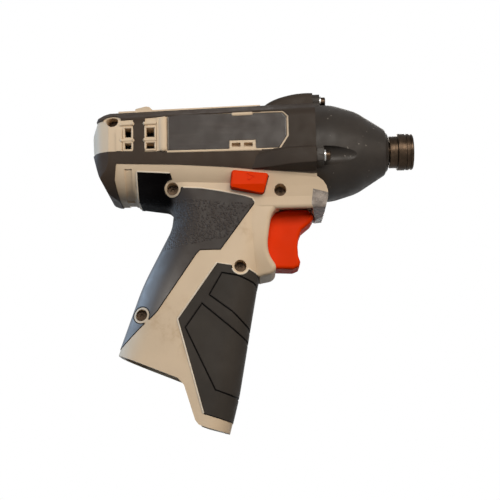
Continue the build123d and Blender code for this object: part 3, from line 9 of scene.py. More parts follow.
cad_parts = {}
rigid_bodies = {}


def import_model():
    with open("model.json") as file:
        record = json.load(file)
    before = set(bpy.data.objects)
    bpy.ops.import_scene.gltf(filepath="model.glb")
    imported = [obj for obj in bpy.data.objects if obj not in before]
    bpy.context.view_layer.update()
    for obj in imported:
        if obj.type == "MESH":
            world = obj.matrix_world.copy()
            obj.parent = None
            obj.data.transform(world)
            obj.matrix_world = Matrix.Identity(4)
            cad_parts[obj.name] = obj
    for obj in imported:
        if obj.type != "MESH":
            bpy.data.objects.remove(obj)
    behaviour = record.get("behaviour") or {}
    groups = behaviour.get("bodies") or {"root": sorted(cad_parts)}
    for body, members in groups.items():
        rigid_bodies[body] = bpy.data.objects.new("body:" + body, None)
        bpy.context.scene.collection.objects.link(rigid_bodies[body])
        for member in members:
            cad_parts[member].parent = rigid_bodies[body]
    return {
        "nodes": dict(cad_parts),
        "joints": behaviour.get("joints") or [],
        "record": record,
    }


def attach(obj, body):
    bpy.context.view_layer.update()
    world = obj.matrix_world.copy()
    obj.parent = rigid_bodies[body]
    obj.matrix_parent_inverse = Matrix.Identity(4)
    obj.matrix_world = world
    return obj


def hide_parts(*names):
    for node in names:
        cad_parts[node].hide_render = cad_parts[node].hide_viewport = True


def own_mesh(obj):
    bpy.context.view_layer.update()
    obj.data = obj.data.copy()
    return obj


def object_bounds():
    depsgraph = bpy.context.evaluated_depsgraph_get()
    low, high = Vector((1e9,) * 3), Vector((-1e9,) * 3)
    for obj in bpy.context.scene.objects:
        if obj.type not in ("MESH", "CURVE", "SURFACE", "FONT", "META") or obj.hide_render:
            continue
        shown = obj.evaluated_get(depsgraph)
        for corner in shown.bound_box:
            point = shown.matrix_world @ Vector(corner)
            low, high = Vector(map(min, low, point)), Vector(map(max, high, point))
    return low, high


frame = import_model()
cad_low, cad_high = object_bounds()
nodes = frame["nodes"]
slots = {part["node"]: part["material_slot"] for part in frame["record"]["subparts"]}
scene = bpy.context.scene
# Sizes and places are in millimetres in the CAD frame, unless a comment says otherwise
MM = 0.001


class Graph:
    """A small helper that adds nodes to a shader tree."""

    def __init__(self, tree):
        self.tree = tree

    def link(self, value, socket):
        """Sets a number or colour on a socket, or links an output to it."""
        if isinstance(value, (int, float, tuple)):
            socket.default_value = value
        else:
            self.tree.links.new(value, socket)

    def fill(self, node, inputs):
        """Sets or links some of a node's inputs, each told by its name or number."""
        for key, value in inputs.items():
            self.link(value, node.inputs[key])
        return node

    def node(self, kind, inputs=None):
        return self.fill(self.tree.nodes.new(kind), inputs or {})

    def math(self, operation, *values):
        node = self.node("ShaderNodeMath")
        node.operation = operation
        return self.fill(node, dict(enumerate(values))).outputs[0]

    def plus(self, a, b):
        return self.math("ADD", a, b)

    def minus(self, a, b):
        return self.math("SUBTRACT", a, b)

    def times(self, a, b):
        return self.math("MULTIPLY", a, b)

    def reach(self, a, b):
        """The distance from nought that two coordinates make together."""
        return self.math("SQRT", self.plus(self.times(a, a), self.times(b, b)))

    def ramp(self, value, low, high, out_low=0.0, out_high=1.0):
        """A soft step from one value to another as the input goes from low to high."""
        node = self.node("ShaderNodeMapRange")
        node.interpolation_type = "SMOOTHSTEP"
        inputs = {"Value": value, "From Min": low, "From Max": high, "To Min": out_low, "To Max": out_high}
        return self.fill(node, inputs).outputs["Result"]

    def mix(self, share, a, b):
        """Two colours mixed."""
        node = self.node("ShaderNodeMix")
        node.data_type = "RGBA"
        self.link(share, node.inputs["Factor"])
        for value, socket in ((a, node.inputs["A"]), (b, node.inputs["B"])):
            self.link((*value, 1.0) if isinstance(value, tuple) else value, socket)
        return node.outputs["Result"]

    def blend(self, share, a, b):
        """Two shaders mixed."""
        return self.node("ShaderNodeMixShader", {0: share, 1: a, 2: b}).outputs[0]


class Shader(Graph):
    """One procedural material, laid out in the object's own coordinates."""

    # The middle of a noise's range, over which colour and gloss wander
    COLOR_SPAN = (0.3, 0.7)
    GLOSS_SPAN = (0.25, 0.75)
    PEBBLE_SMOOTHNESS = 0.35

    def __init__(self, name, metallic=0.0, specular=0.35):
        self.material = bpy.data.materials.new(name)
        self.material.use_nodes = True
        super().__init__(self.material.node_tree)
        self.surface = self.tree.nodes["Principled BSDF"]
        self.surface.inputs["Metallic"].default_value = metallic
        self.surface.inputs["Specular IOR Level"].default_value = specular
        self.place = self.node("ShaderNodeTexCoord").outputs["Object"]

    def axes(self):
        return self.node("ShaderNodeSeparateXYZ", {0: self.place}).outputs

    def noise(self, scale, detail=3.0, rough=0.5, stretch=None):
        source = self.place
        if stretch:
            source = self.node("ShaderNodeMapping", {"Vector": self.place, "Scale": stretch}).outputs[0]
        inputs = {"Vector": source, "Scale": scale, "Detail": detail, "Roughness": rough}
        return self.node("ShaderNodeTexNoise", inputs).outputs["Fac"]

    def pebble(self, scale):
        node = self.node("ShaderNodeTexVoronoi")
        node.feature = "SMOOTH_F1"
        inputs = {"Vector": self.place, "Scale": scale, "Smoothness": self.PEBBLE_SMOOTHNESS}
        return self.fill(node, inputs).outputs["Distance"]

    def mottle(self, color, noise, darker, lighter, span=COLOR_SPAN):
        """A colour that wanders between a darker and a lighter shade of itself."""
        return self.mix(self.ramp(noise, *span), shade(color, darker), shade(color, lighter))

    def speckle(self, base, color, noise, span, amount):
        """Patches of another colour where the noise is high."""
        return self.mix(self.times(self.ramp(noise, *span), amount), base, color)

    def gloss(self, noise, middle, swing):
        """A roughness that wanders to both sides of a middle value."""
        return self.ramp(noise, *self.GLOSS_SPAN, middle - swing, middle + swing)

    def color(self, value):
        self.link(value, self.surface.inputs["Base Color"])

    def rough(self, value):
        self.link(value, self.surface.inputs["Roughness"])

    def bump(self, height, strength, depth):
        inputs = {"Height": height, "Strength": strength, "Distance": depth * MM}
        self.link(self.node("ShaderNodeBump", inputs).outputs[0], self.surface.inputs["Normal"])


def shade(color, factor):
    """A colour made darker or lighter."""
    return tuple(min(1.0, c * factor) for c in color)


def moulded(name, color, rough, grain=1400.0, depth=0.06, vary=0.10, specular=0.35):
    """Moulded plastic or resin: mottled colour, uneven gloss and a fine grain."""
    s = Shader(name, specular=specular)
    s.color(s.mottle(color, s.noise(38.0, 4.0), 1 - vary, 1 + vary))
    s.rough(s.gloss(s.noise(160.0), rough, 0.07))
    s.bump(s.noise(grain, 2.0), 0.35, depth)
    return s.material


# Hand stains on the casing in the side view: place, half width, half height, and strength from 0 to 1
STAINS = (
    (-131.0, -94.0, 22.0, 20.0, 0.55),
    (-120.0, -105.0, 14.0, 16.0, 0.40),
    (-92.0, -46.0, 6.0, 10.0, 0.45),
)
STAIN_BROWN = (0.42, 0.26, 0.13)
SPECK_BROWN = (0.40, 0.29, 0.19)


def casing_plastic():
    """Cream plastic, mottled, with faint brown hand stains on the handle's flank."""
    s = Shader("casing_cream", specular=0.3)
    x, y, z = s.axes()
    base = s.mottle((0.68, 0.525, 0.365), s.noise(30.0, 4.0), 0.95, 1.04)
    smear = s.ramp(s.noise(120.0, 5.0, 0.65), 0.42, 0.70)
    for stain_x, stain_z, half_width, half_height, strength in STAINS:
        across = s.math("DIVIDE", s.minus(x, stain_x * MM), half_width * MM)
        upward = s.math("DIVIDE", s.minus(z, stain_z * MM), half_height * MM)
        near = s.ramp(s.reach(across, upward), 1.0, 0.1)
        base = s.mix(s.times(s.times(near, smear), strength), base, STAIN_BROWN)
    s.color(s.speckle(base, SPECK_BROWN, s.noise(420.0, 4.0, 0.7), (0.66, 0.80), 0.35))
    s.rough(s.gloss(s.noise(140.0), 0.50, 0.08))
    s.bump(s.noise(1500.0, 2.0), 0.30, 0.05)
    return s.material


# Pebbled field of the palm grips: a point and the slope of the lines over and under it, and its soft edge
FIELD_TOP = (-128.3, -27.2, -0.102)
FIELD_BOTTOM = (-132.4, -54.5, 0.170)
FIELD_EDGE = 0.6
# Rear block painted near black as shade: where it fades in, forwards to rearwards and from below to above
SHADE_BLOCK_REARWARD = (-128.5, -132.5)
SHADE_BLOCK_UPWARD = (-33.5, -28.5)
# Rear part polished by the hand: where it fades out forwards, and how far that leans with the height
WORN_SPAN = (-170.0, -140.0)
WORN_LEAN = 0.36


def palm_rubber():
    """Soft palm grip: pebbled between two lines, smooth above and below, with painted shade near black on
    its rear block.
    """
    s = Shader("palm_rubber")
    x, y, z = s.axes()

    def line(at_x, at_z, slope):
        return s.math("MULTIPLY_ADD", s.minus(x, at_x * MM), slope, at_z * MM)

    def fade(value, span, out_low=0.0, out_high=1.0):
        return s.ramp(value, span[0] * MM, span[1] * MM, out_low, out_high)

    below_top = fade(s.minus(line(*FIELD_TOP), z), (0.0, FIELD_EDGE))
    above_bottom = fade(s.minus(z, line(*FIELD_BOTTOM)), (0.0, FIELD_EDGE))
    field = s.times(below_top, above_bottom)
    block = s.times(fade(x, SHADE_BLOCK_REARWARD), fade(z, SHADE_BLOCK_UPWARD))
    worn = fade(s.plus(s.times(z, WORN_LEAN), x), WORN_SPAN, 1.0, 0.0)
    grey = (0.032, 0.0235, 0.019)
    cells = s.pebble(760.0)
    base = s.mottle(grey, s.noise(45.0, 4.0), 0.88, 1.12)
    base = s.mix(s.times(field, s.ramp(cells, 0.55, 0.2, 0.0, 0.16)), base, shade(grey, 1.7))
    base = s.speckle(base, (0.16, 0.14, 0.12), s.noise(90.0, 5.0, 0.7), (0.60, 0.80), 0.10)
    # The rear block's near black colour is painted shade.
    s.color(s.mix(block, base, (0.001, 0.0005, 0.0005)))
    polished = s.minus(s.gloss(s.noise(180.0), 0.53, 0.07), s.times(worn, 0.06))
    s.rough(s.plus(polished, s.times(block, 0.35)))
    sheen = s.times(s.math("MULTIPLY_ADD", worn, 0.85, 0.34), s.ramp(block, 0.0, 1.0, 1.0, 0.12))
    s.link(sheen, s.surface.inputs["Specular IOR Level"])
    pebbles = s.times(s.ramp(cells, 0.62, 0.10), field)
    s.bump(s.plus(pebbles, s.times(s.noise(2600.0, 2.0), 0.12)), 1.0, 0.34)
    return s.material


def soft_rubber(name, color, rough=0.62):
    """Plain soft rubber with fine grain, scuffs along the barrel and a little dust."""
    s = Shader(name, specular=0.16)
    base = s.mottle(color, s.noise(40.0, 4.0), 0.88, 1.12)
    base = s.speckle(base, (0.20, 0.17, 0.14), s.noise(110.0, 6.0, 0.72), (0.62, 0.82), 0.14)
    scuffs = s.noise(260.0, 4.0, 0.6, (0.12, 1, 1))
    s.color(s.speckle(base, (0.22, 0.19, 0.16), scuffs, (0.68, 0.80), 0.12))
    s.rough(s.gloss(s.noise(150.0), rough, 0.08))
    s.bump(s.noise(2400.0, 2.0), 0.35, 0.06)
    return s.material


def turned_steel(name, color, rough):
    """Turned steel: fine rings about the output axis and small stains."""
    s = Shader(name, metallic=1.0, specular=0.5)
    rings = s.noise(900.0, 2.0, 0.5, (1.0, 0.04, 0.04))
    s.color(s.mottle(color, s.noise(220.0, 5.0, 0.65), 0.72, 1.2, (0.35, 0.72)))
    s.rough(s.ramp(rings, 0.3, 0.7, rough - 0.08, rough + 0.10))
    s.bump(rings, 0.18, 0.04)
    return s.material


def coated_metal(name, color, rough):
    """Coated casting: mottled, unevenly rubbed, with small pale nicks."""
    s = Shader(name, specular=0.28)
    base = s.mottle(color, s.noise(55.0, 5.0, 0.6), 0.82, 1.18)
    s.color(s.speckle(base, (0.28, 0.25, 0.22), s.noise(430.0, 2.0), (0.71, 0.77), 0.55))
    s.rough(s.gloss(s.noise(150.0, 4.0), rough, 0.09))
    s.bump(s.noise(1900.0, 2.0), 0.35, 0.05)
    return s.material


def plate_film():
    """Bare plate: dark film with a soft sheen and faint rubbing marks."""
    s = Shader("plate_film", specular=0.22)
    color = (0.034, 0.025, 0.021)
    rubbing = s.noise(300.0, 5.0, 0.65, (0.10, 1, 0.8))
    s.color(s.speckle(color, shade(color, 1.9), rubbing, (0.45, 0.75), 0.5))
    s.rough(s.gloss(s.noise(120.0), 0.38, 0.08))
    s.bump(s.noise(1800.0, 2.0), 0.2, 0.03)
    return s.material


def lens_plastic():
    """Frosted clear plastic with moulding flow lines."""
    s = Shader("lens_plastic", specular=0.5)
    flow = s.noise(170.0, 4.0, 0.55, (1, 0.5, 1.6))
    s.color(s.mottle((0.44, 0.37, 0.32), flow, 0.72, 1.35, (0.32, 0.70)))
    s.rough(s.gloss(s.noise(300.0), 0.25, 0.09))
    s.bump(s.noise(420.0), 0.35, 0.15)
    s.surface.inputs["Transmission Weight"].default_value = 0.35
    s.surface.inputs["IOR"].default_value = 1.49
    return s.material


CREAM = casing_plastic()
PALM = palm_rubber()
FINGER = soft_rubber("finger_rubber", (0.040, 0.033, 0.027))
BAND = soft_rubber("band_rubber", (0.047, 0.031, 0.021), 0.58)
COLLAR = soft_rubber("collar_rubber", (0.042, 0.030, 0.022), 0.55)
NOSE = coated_metal("nose_coat", (0.033, 0.026, 0.021), 0.46)
ORANGE = moulded("control_orange", (0.78, 0.038, 0.0005), 0.48, 1500.0, 0.04, 0.05, 0.05)
BLACK_STEEL = turned_steel("black_steel", (0.068, 0.046, 0.031), 0.36)
BRIGHT_STEEL = turned_steel("bright_steel", (0.60, 0.59, 0.57), 0.28)
GEAR_STEEL = turned_steel("gear_steel", (0.34, 0.34, 0.35), 0.34)
COPPER = turned_steel("copper", (0.62, 0.30, 0.15), 0.34)
BRONZE = turned_steel("bronze", (0.48, 0.33, 0.16), 0.42)
DARK = moulded("dark_plastic", (0.030, 0.028, 0.027), 0.5)
MAGNET = moulded("magnet_ferrite", (0.045, 0.045, 0.047), 0.7, 1800.0, 0.08, 0.2)
BOARD = moulded("lamp_board_green", (0.02, 0.10, 0.03), 0.45)
LAMP = moulded("lamp_resin", (0.78, 0.77, 0.68), 0.2, 900.0, 0.03, 0.05, 0.5)
# Paler cream than the casing: a painted highlight on the grips' upward and rearward rims.
HIGHLIGHT_BEAD = moulded("grip_bead_painted_highlight", (0.78, 0.67, 0.53), 0.44, 1500.0, 0.05, 0.06, 0.3)
# Near black: painted shade at the grips' downward and forward rims and in the pad grooves, and the same
# near black round the screw rings.
SHADE_SEAM = moulded("grip_seam_painted_shade", (0.006, 0.005, 0.0045), 0.7, 1500.0, 0.05, 0.2, 0.1)
BORDER = moulded("plate_border", (0.20, 0.18, 0.16), 0.35, 1500.0, 0.03, 0.10, 0.4)

LOOKS = {
    CREAM: "right_housing left_housing",
    PALM: "right_palm_grip left_palm_grip",
    FINGER: "right_finger_grip left_finger_grip",
    BAND: "right_band left_band",
    COLLAR: "front_collar",
    NOSE: "nose_case",
    ORANGE: "trigger direction_selector",
    BLACK_STEEL: "collet_sleeve anvil nose_screws housing_screws collet_snap_ring collet_spring",
    BRIGHT_STEEL: "nose_washers collet_washer detent_ball_right detent_ball_left cam_balls planet_pins "
    "spring_washer hammer_spring trigger_spring rotor_shaft spindle_bearing motor_plate motor_can",
    GEAR_STEEL: "pinion planet_gear_1 planet_gear_2 planet_gear_3 ring_gear spindle hammer",
    COPPER: "rotor_windings commutator terminal_blades",
    BRONZE: "anvil_bush motor_bushings",
    DARK: "motor_end_cap terminal_block switch_body reverse_lever motor_brushes cooling_fan battery_leads",
    MAGNET: "motor_magnets rotor_core",
    BOARD: "lamp_board",
    LAMP: "lamp",
    plate_film(): "right_rating_plate left_rating_plate",
    lens_plastic(): "lamp_lens",
}
for material, names in LOOKS.items():
    for name in names.split():
        nodes[name].data.materials.clear()
        nodes[name].data.materials.append(material)

# A rim is where an outer face meets a side wall: the least and the most that their normals point outwards
RIM_LEAST_OUTWARD = 0.12
RIM_MOST_LEAN = 0.03
# A wall is open if a probe held before it is further than the second distance from the piece itself
RIM_PROBE = 1.0
RIM_OPEN = 0.6
RIM_SHORTEST = 6.0
# Points nearer than this are joined
WELD_GAP = 0.001
# Beads: corners of the section, reach of an end's tip in half widths, and gap under which a path is a loop
BEAD_SIDES = 10
BEAD_TIP = 0.6
CLOSED_GAP = 0.05
SHARP_ANGLE = math.radians(40)
# Outlines laid on a flank: distance from point to point, and a start outside both flanks for the search
LAID_STEP = 1.2
OUTSIDE = 80.0


def welded(obj):
    """The node's mesh with its faces joined along their shared edges."""
    bm = bmesh.new()
    bm.from_mesh(obj.data)
    bm.transform(obj.matrix_world)
    bmesh.ops.remove_doubles(bm, verts=bm.verts, dist=WELD_GAP * MM)
    bm.normal_update()
    return bm


def rim_edges(bm, side):
    """The edges where a flank piece's outer face meets its open side walls, with both normals."""
    own = BVHTree.FromBMesh(bm)
    rim = {}
    for edge in bm.edges:
        if len(edge.link_faces) != 2:
            continue
        outer, wall = sorted(edge.link_faces, key=lambda face: -side * face.normal.y)
        if side * outer.normal.y < RIM_LEAST_OUTWARD or abs(wall.normal.y) > RIM_MOST_LEAN:
            continue
        halfway = (edge.verts[0].co + edge.verts[1].co) / 2
        away = own.find_nearest(halfway + wall.normal * RIM_PROBE * MM)[3]
        if away > RIM_OPEN * MM:
            rim[edge] = (outer.normal.copy(), wall.normal.copy())
    return rim


def rim_paths(obj, side):
    """Runs of rim points, each with its place and the normals of the outer face and the wall."""
    bm = welded(obj)
    rim = rim_edges(bm, side)
    paths = []
    left = set(rim)
    while left:
        start = min(left, key=lambda edge: edge.index)
        left.discard(start)
        run = [(start.verts[0], start), (start.verts[1], start)]
        for forward in (True, False):
            while True:
                vert = run[-1][0] if forward else run[0][0]
                more = [edge for edge in vert.link_edges if edge in left]
                if not more:
                    break
                left.discard(more[0])
                step = (more[0].other_vert(vert), more[0])
                run.insert(len(run) if forward else 0, step)
        points = [(vert.co.copy(), *rim[edge]) for vert, edge in run]
        length = sum((a[0] - b[0]).length for a, b in zip(points, points[1:]))
        if length > RIM_SHORTEST * MM:
            paths.append(points)
    bm.free()
    return paths


def stretches(points, test):
    """Cuts a rim into stretches that a test tells apart, each with its answer."""
    runs = []
    for i, (place, outer, wall) in enumerate(points):
        answer = test(place, wall)
        if not runs or runs[-1][0] != answer:
            joint = [(points[i - 1][0], outer, wall)] if i else []
            runs.append((answer, joint))
        runs[-1][1].append((place, outer, wall))
    return [(answer, run) for answer, run in runs if len(run) > 1]


def shifted(points, outwards, sink):
    """Rim points moved away from the wall and into the outer face, as places and normals."""
    return [(place + wall * outwards * MM - outer * sink * MM, outer) for place, outer, wall in points]


def skin(bm, rings, closed):
    """Four-sided faces from each ring of points to the next."""
    pairs = list(zip(rings, rings[1:]))
    if closed:
        pairs.append((rings[-1], rings[0]))
    for a, b in pairs:
        for k in range(len(a)):
            following = (k + 1) % len(a)
            bm.faces.new((a[k], a[following], b[following], b[k]))


def sweep(bm, path, half_width, rise=1.0):
    """A bead along places with the surface's normal at each. Rise is its height over its half width."""
    radius = half_width * MM
    closed = (path[0][0] - path[-1][0]).length < CLOSED_GAP * MM
    if closed:
        path = path[:-1]
    count = len(path)
    rings = []
    for i, (place, normal) in enumerate(path):
        before = path[i - 1][0] if i or closed else place
        after = path[(i + 1) % count][0] if i + 1 < count or closed else place
        along = (after - before).normalized()
        across = along.cross(normal).normalized()
        upward = across.cross(along)
        ring = []
        for k in range(BEAD_SIDES):
            angle = 2 * math.pi * k / BEAD_SIDES
            spoke = rise * math.cos(angle) * upward + math.sin(angle) * across
            ring.append(bm.verts.new(place + radius * spoke))
        rings.append(ring)
    skin(bm, rings, closed)
    if not closed:
        for ring, end, inner in ((rings[0], 0, 1), (rings[-1], -1, -2)):
            outwards = (path[end][0] - path[inner][0]).normalized()
            peak = bm.verts.new(path[end][0] + outwards * radius * BEAD_TIP)
            for k in range(BEAD_SIDES):
                bm.faces.new((ring[k], ring[(k + 1) % BEAD_SIDES], peak))


def piece(name, bm, material, body="casing"):
    """Finishes a mesh as a piece that rides on a body."""
    bmesh.ops.recalc_face_normals(bm, faces=bm.faces)
    mesh = bpy.data.meshes.new(name)
    bm.to_mesh(mesh)
    bm.free()
    for polygon in mesh.polygons:
        polygon.use_smooth = True
    mesh.set_sharp_from_angle(angle=SHARP_ANGLE)
    obj = bpy.data.objects.new(name, mesh)
    scene.collection.objects.link(obj)
    mesh.materials.append(material)
    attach(obj, body)
    return obj


def flank_tree(names):
    """A search tree over the outer skin of one flank."""
    verts = []
    faces = []
    for name in names:
        obj = nodes[name]
        base = len(verts)
        verts += [obj.matrix_world @ v.co for v in obj.data.vertices]
        faces += [[base + i for i in polygon.vertices] for polygon in obj.data.polygons]
    return BVHTree.FromPolygons(verts, faces)


def laid(tree, side, points, closed=False):
    """An outline in the side view laid on a flank, as places and normals."""
    corners = list(points) + [points[0]] if closed else list(points)
    dense = []
    for (x0, z0), (x1, z1) in zip(corners, corners[1:]):
        steps = max(1, round(math.hypot(x1 - x0, z1 - z0) / LAID_STEP))
        dense += [(x0 + (x1 - x0) * i / steps, z0 + (z1 - z0) * i / steps) for i in range(steps)]
    dense.append(corners[-1])
    path = []
    for x, z in dense:
        start = Vector((x * MM, side * OUTSIDE * MM, z * MM))
        place, normal = tree.ray_cast(start, Vector((0, -side, 0)))[:2]
        if place is not None:
            path.append((place, normal if normal.y * side > 0 else -normal))
    return path


# Beads and seams at the rims of the soft grips, the beads painted pale as a highlight and the seams near
# black as shade: half width, how far out of the wall, how far sunk
BEAD_SIZE = 0.42
BEAD_OUT = 0.30
BEAD_SINK = 0.10
SEAM_SIZE = 0.30
SEAM_OUT = 0.14
SEAM_SINK = 0.20
# A bead painted pale as a highlight lies where the wall faces up or to the rear, towards the light, and a
# seam painted near black as shade lies elsewhere; told by the shares of its normal
RIM_UPWARD = 0.35
RIM_REARWARD = 0.7
# Screw rings that the palm grips leave open, in the side view, with a dark seam round them
PALM_RINGS = ((-130.4, -22.3), (-147.5, -88.8))
RING_REACH = 5.4
# Grooves round the finger pads, in the side view, with painted shade on their floors
PAD_GROOVES = (
    (
        (-80.0, -109.0),
        (-100.0, -88.3),
        (-112.0, -79.2),
        (-105.2, -67.8),
        (-96.9, -69.4),
        (-89.1, -72.7),
        (-80.0, -80.0),
    ),
    (
        (-84.0, -111.0),
        (-115.8, -83.7),
        (-124.6, -96.0),
        (-109.6, -128.4),
        (-98.2, -132.7),
        (-84.0, -138.0),
    ),
)
GROOVE_SHADE_SIZE = 0.36
GROOVE_SHADE_RISE = 0.3


def lit_rim(place, wall):
    """Whether a grip's rim faces up or to the rear, away from the screw rings, and so gets a bead painted
    pale as a highlight.
    """
    ringed = any(math.hypot(place.x / MM - x, place.z / MM - z) < RING_REACH for x, z in PALM_RINGS)
    return not ringed and (wall.z > RIM_UPWARD or wall.x < -RIM_REARWARD)


def grip_trim(side, hand):
    """Beads painted pale as a highlight and seams painted near black as shade at the rims of the soft
    grips, and painted shade in the grooves of the pads.
    """
    beads = bmesh.new()
    seams = bmesh.new()
    for name in ("palm_grip", "finger_grip"):
        for points in rim_paths(nodes[f"{hand}_{name}"], side):
            for lit, run in stretches(points, lit_rim):
                if lit:
                    sweep(beads, shifted(run, BEAD_OUT, BEAD_SINK), BEAD_SIZE)
                else:
                    sweep(seams, shifted(run, SEAM_OUT, SEAM_SINK), SEAM_SIZE)
    grip = flank_tree([f"{hand}_finger_grip"])
    # Near black lines laid on the pad grooves' floors: painted shade.
    for points in PAD_GROOVES:
        sweep(seams, laid(grip, side, points), GROOVE_SHADE_SIZE, GROOVE_SHADE_RISE)
    piece(f"{hand}_grip_beads", beads, HIGHLIGHT_BEAD)
    piece(f"{hand}_grip_seams", seams, SHADE_SEAM)


# Line on the rating plates: half width, and distance from the edge
BORDER_SIZE = 0.22
BORDER_INSET = 0.45


def plate_border(side, hand):
    """A thin line inside the rating plate's edge."""
    border = bmesh.new()
    for points in rim_paths(nodes[f"{hand}_rating_plate"], side):
        sweep(border, shifted(points, -BORDER_INSET, 0.0), BORDER_SIZE)
    piece(f"{hand}_plate_border", border, BORDER)


# Frames round the cooling slots in the side view: rear and front of each column, bottom and top of each row
VENT_COLUMNS = ((-155.6, -151.0), (-144.2, -138.8))
VENT_ROWS = ((4.2, 10.3), (-2.2, 2.2))
FRAME_SIZE = 0.7
# Bars beside the slots: both ends in the side view
VENT_BARS = (
    ((-157.2, 3.2), (-150.4, 3.2)),
    ((-145.0, 3.2), (-138.4, 3.2)),
    ((-157.2, 12.0), (-150.4, 12.2)),
    ((-145.0, 12.2), (-138.4, 12.4)),
)
BAR_SIZE = 1.0
# Ridge beside the plate, rail under it and tab over it: both ends in the side view, half width and rise
PLATE_TRIM = (
    ((-134.9, -2.6), (-134.9, 14.8), 2.0, 0.5),
    ((-132.6, -3.5), (-83.0, -3.6), 0.6, 0.7),
    ((-98.0, 16.2), (-87.6, 16.4), 0.9, 0.6),
)


def vent_trim(side, hand):
    """Frames and bars round the cooling slots, and the trim round the plate."""
    flank = flank_tree([f"{hand}_housing", f"{hand}_band", f"{hand}_rating_plate", "front_collar"])
    frames = bmesh.new()
    for rear, front in VENT_COLUMNS:
        for bottom, top in VENT_ROWS:
            outline = ((rear, bottom), (front, bottom), (front, top), (rear, top))
            sweep(frames, laid(flank, side, outline, closed=True), FRAME_SIZE)
    for ends in VENT_BARS:
        sweep(frames, laid(flank, side, ends), BAR_SIZE)
    for *ends, half_width, rise in PLATE_TRIM:
        sweep(frames, laid(flank, side, ends), half_width, rise)
    piece(f"{hand}_vent_frames", frames, CREAM)


# Fairings over the side screw ears: place along the barrel, top, bottom, foot, inset from the widest point
EAR_RIDGE = (
    (-88.0, -8.0, -13.7, -14.1, 6.2),
    (-78.0, -5.4, -13.6, -14.6, 3.0),
    (-68.0, -4.4, -13.0, -15.2, 0.01),
    (-54.5, -4.0, -12.2, -16.0, 0.01),
)
EAR_BLOCK = (
    (-54.2, -4.6, -11.8, -13.6, 0.01),
    (-50.6, -4.8, -11.6, -13.4, 0.2),
)
# How far from the middle plane the roots lie, inside the solids
RIDGE_ROOT = 25.6
BLOCK_ROOT = 22.0
FAIRING_FLARE = 2.4
FAIRING_EDGE = 0.4


def fairing(side, sections, root):
    """A ridge with flat facets on a flank, through sections along the barrel."""
    bm = bmesh.new()
    rings = []
    for x, top, bottom, foot, inset in sections:
        face = cad_high.y / MM - inset
        corners = ((root, top + FAIRING_FLARE), (face, top), (face, bottom), (root, foot))
        rings.append([bm.verts.new((x * MM, side * y * MM, z * MM)) for y, z in corners])
    skin(bm, rings, closed=False)
    bm.faces.new(rings[0])
    bm.faces.new(rings[-1])
    crisp = [bm.edges.get((a[k], b[k])) for a, b in zip(rings, rings[1:]) for k in (1, 2)]
    bmesh.ops.bevel(bm, geom=crisp, offset=FAIRING_EDGE * MM, segments=2, profile=0.5, affect="EDGES")
    return bm


def ear_fairings(side, hand):
    """The ridge over a side screw's boss on the collar, and the block before it on the nose."""
    piece(f"{hand}_ear_ridge", fairing(side, EAR_RIDGE, RIDGE_ROOT), COLLAR)
    piece(f"{hand}_ear_block", fairing(side, EAR_BLOCK, BLOCK_ROOT), NOSE)


for side, hand in ((-1, "right"), (1, "left")):
    grip_trim(side, hand)
    plate_border(side, hand)
    vent_trim(side, hand)
    ear_fairings(side, hand)

# Each spring is remade as a welded piece that rides on its joint's parent body, and its CAD node is hidden
STEELS = {"black_steel": BLACK_STEEL, "bright_steel": BRIGHT_STEEL}
for joint in frame["joints"]:
    for soft in joint.get("deforming_nodes", []):
        name = soft["node"]
        steel = STEELS[slots[name]]
        spring = piece(f"{name}_coil", welded(nodes[name]), steel, joint["parent"])
        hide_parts(name)
        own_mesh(spring)

# Camera: the photograph's place in metres, tilt, roll, and focal length and width in pixels
EYE = (-0.0903, -0.640, -0.1653)
PITCH = math.radians(10.0)
ROLL = math.radians(1.3)
FOCAL_PIXELS = 1204.0
WIDTH_PIXELS = 500.0
SENSOR_WIDTH = 36.0
NEAREST = 10.0


def photo_camera():
    """The camera at the photograph's place."""
    sideways = Vector((1, 0, 0))
    ahead = Vector((0, math.cos(PITCH), math.sin(PITCH)))
    level_up = Vector((0, -math.sin(PITCH), math.cos(PITCH)))
    right = math.cos(ROLL) * sideways - math.sin(ROLL) * level_up
    up = math.sin(ROLL) * sideways + math.cos(ROLL) * level_up
    lens = bpy.data.cameras.new("camera")
    lens.sensor_width = SENSOR_WIDTH
    lens.lens = SENSOR_WIDTH * FOCAL_PIXELS / WIDTH_PIXELS
    lens.clip_start = NEAREST * MM
    camera = bpy.data.objects.new("camera", lens)
    scene.collection.objects.link(camera)
    turn = Matrix((right, up, -ahead)).transposed().to_4x4()
    camera.matrix_world = Matrix.Translation(EYE) @ turn
    scene.camera = camera


photo_camera()

# Lamps aimed at the tool's middle: name, place and size in metres, power in watts, colour
MIDDLE = (-0.09, 0.0, -0.05)
LAMPS = (
    ("key", (0.06, -1.0, 0.40), (0.7, 0.5), 7.6, (1.0, 0.95, 0.87)),
    ("window", (-0.92, 0.06, 0.18), (1.30, 0.7), 7.4, (0.52, 0.73, 1.0)),
    ("fill", (0.74, -0.66, 0.16), (0.6, 0.6), 3.4, (1.0, 0.92, 0.82)),
    ("back", (0.05, 1.0, 0.36), (0.7, 0.5), 4.2, (1.0, 0.95, 0.88)),
)


def soft_lamp(name, place, size, power, color):
    """A soft rectangular studio light."""
    data = bpy.data.lights.new(name, "AREA")
    data.shape = "RECTANGLE"
    data.size, data.size_y = size
    data.energy = power
    data.color = color
    obj = bpy.data.objects.new(name, data)
    scene.collection.objects.link(obj)
    obj.location = place
    obj.rotation_mode = "QUATERNION"
    obj.rotation_quaternion = (Vector(MIDDLE) - Vector(place)).to_track_quat("-Z", "Y")


for settings in LAMPS:
    soft_lamp(*settings)

# World: how much of its white glossy surfaces mirror, and the strength and tint of the light it gives
MIRROR_SHARE = 0.40
AMBIENT = 0.12
AMBIENT_TINT = (0.95, 0.97, 1.0, 1.0)
WHITE = (1.0, 1.0, 1.0, 1.0)


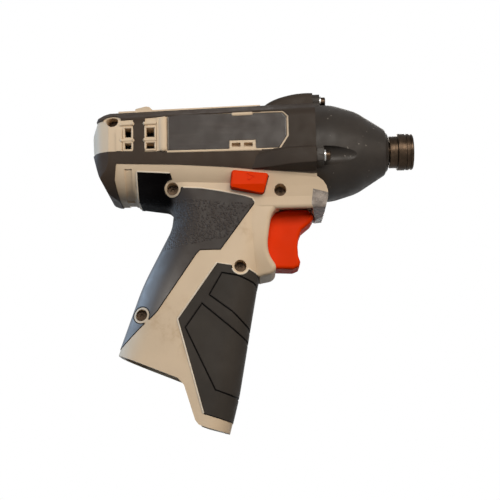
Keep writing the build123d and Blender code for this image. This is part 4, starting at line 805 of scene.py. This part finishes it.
def studio_world():
    """A world that is white for the eye, grey for mirrors and dim for what it lights."""
    world = bpy.data.worlds.new("studio")
    scene.world = world
    world.use_nodes = True
    g = Graph(world.node_tree)
    g.tree.nodes.clear()
    ray = g.node("ShaderNodeLightPath").outputs
    seen = g.math("MAXIMUM", ray["Is Camera Ray"], ray["Is Transmission Ray"])
    share = g.math("MULTIPLY_ADD", ray["Is Glossy Ray"], MIRROR_SHARE, seen)
    dim = g.node("ShaderNodeBackground", {"Color": AMBIENT_TINT, "Strength": AMBIENT})
    pale = g.node("ShaderNodeBackground", {"Color": WHITE, "Strength": 1.0})
    out = g.node("ShaderNodeOutputWorld")
    g.link(g.blend(share, dim.outputs[0], pale.outputs[0]), out.inputs["Surface"])


studio_world()

# Floor: half its side, and from where to where it fades to white round the tool, in metres
FLOOR_HALF = 3.0
FADE_START = 0.20
FADE_END = 0.55
# Its least share of white, and its gap under the tool in millimetres
LEAST_WHITE = 0.2
FLOOR_GAP = 0.5
FLOOR_PALE = (0.86, 0.86, 0.85, 1.0)
FLOOR_DULL = (0.08, 0.08, 0.08, 1.0)
FLOOR_ROUGHNESS = 0.9


def floor_paint():
    """Pale and fading to white for the eye, dull for the light it throws back, clear from below."""
    s = Shader("floor_pale")
    s.color(FLOOR_PALE)
    s.rough(FLOOR_ROUGHNESS)
    x, y, z = s.axes()
    away = s.reach(s.minus(x, MIDDLE[0]), y)
    ray = s.node("ShaderNodeLightPath").outputs
    mirrored = s.math("MAXIMUM", ray["Is Glossy Ray"], ray["Is Transmission Ray"])
    seen = s.math("MAXIMUM", ray["Is Camera Ray"], mirrored)
    white = s.node("ShaderNodeEmission", {"Strength": 1.0}).outputs[0]
    share = s.times(ray["Is Camera Ray"], s.ramp(away, FADE_START, FADE_END, LEAST_WHITE, 1.0))
    shown = s.blend(share, s.surface.outputs[0], white)
    dull = s.node("ShaderNodeBsdfDiffuse", {"Color": FLOOR_DULL}).outputs[0]
    clear = s.node("ShaderNodeBsdfTransparent").outputs[0]
    from_below = s.node("ShaderNodeNewGeometry").outputs["Backfacing"]
    lit = s.blend(seen, dull, shown)
    s.link(s.blend(from_below, lit, clear), s.tree.nodes["Material Output"].inputs["Surface"])
    return s.material


def studio_floor():
    """A square floor just under the tool."""
    level = cad_low.z - FLOOR_GAP * MM
    corners = [(x * FLOOR_HALF, y * FLOOR_HALF, level) for x, y in ((-1, -1), (1, -1), (1, 1), (-1, 1))]
    mesh = bpy.data.meshes.new("floor")
    mesh.from_pydata(corners, [], [(0, 1, 2, 3)])
    mesh.materials.append(floor_paint())
    floor = bpy.data.objects.new("floor", mesh)
    scene.collection.objects.link(floor)


studio_floor()
scene.view_settings.view_transform = "Standard"
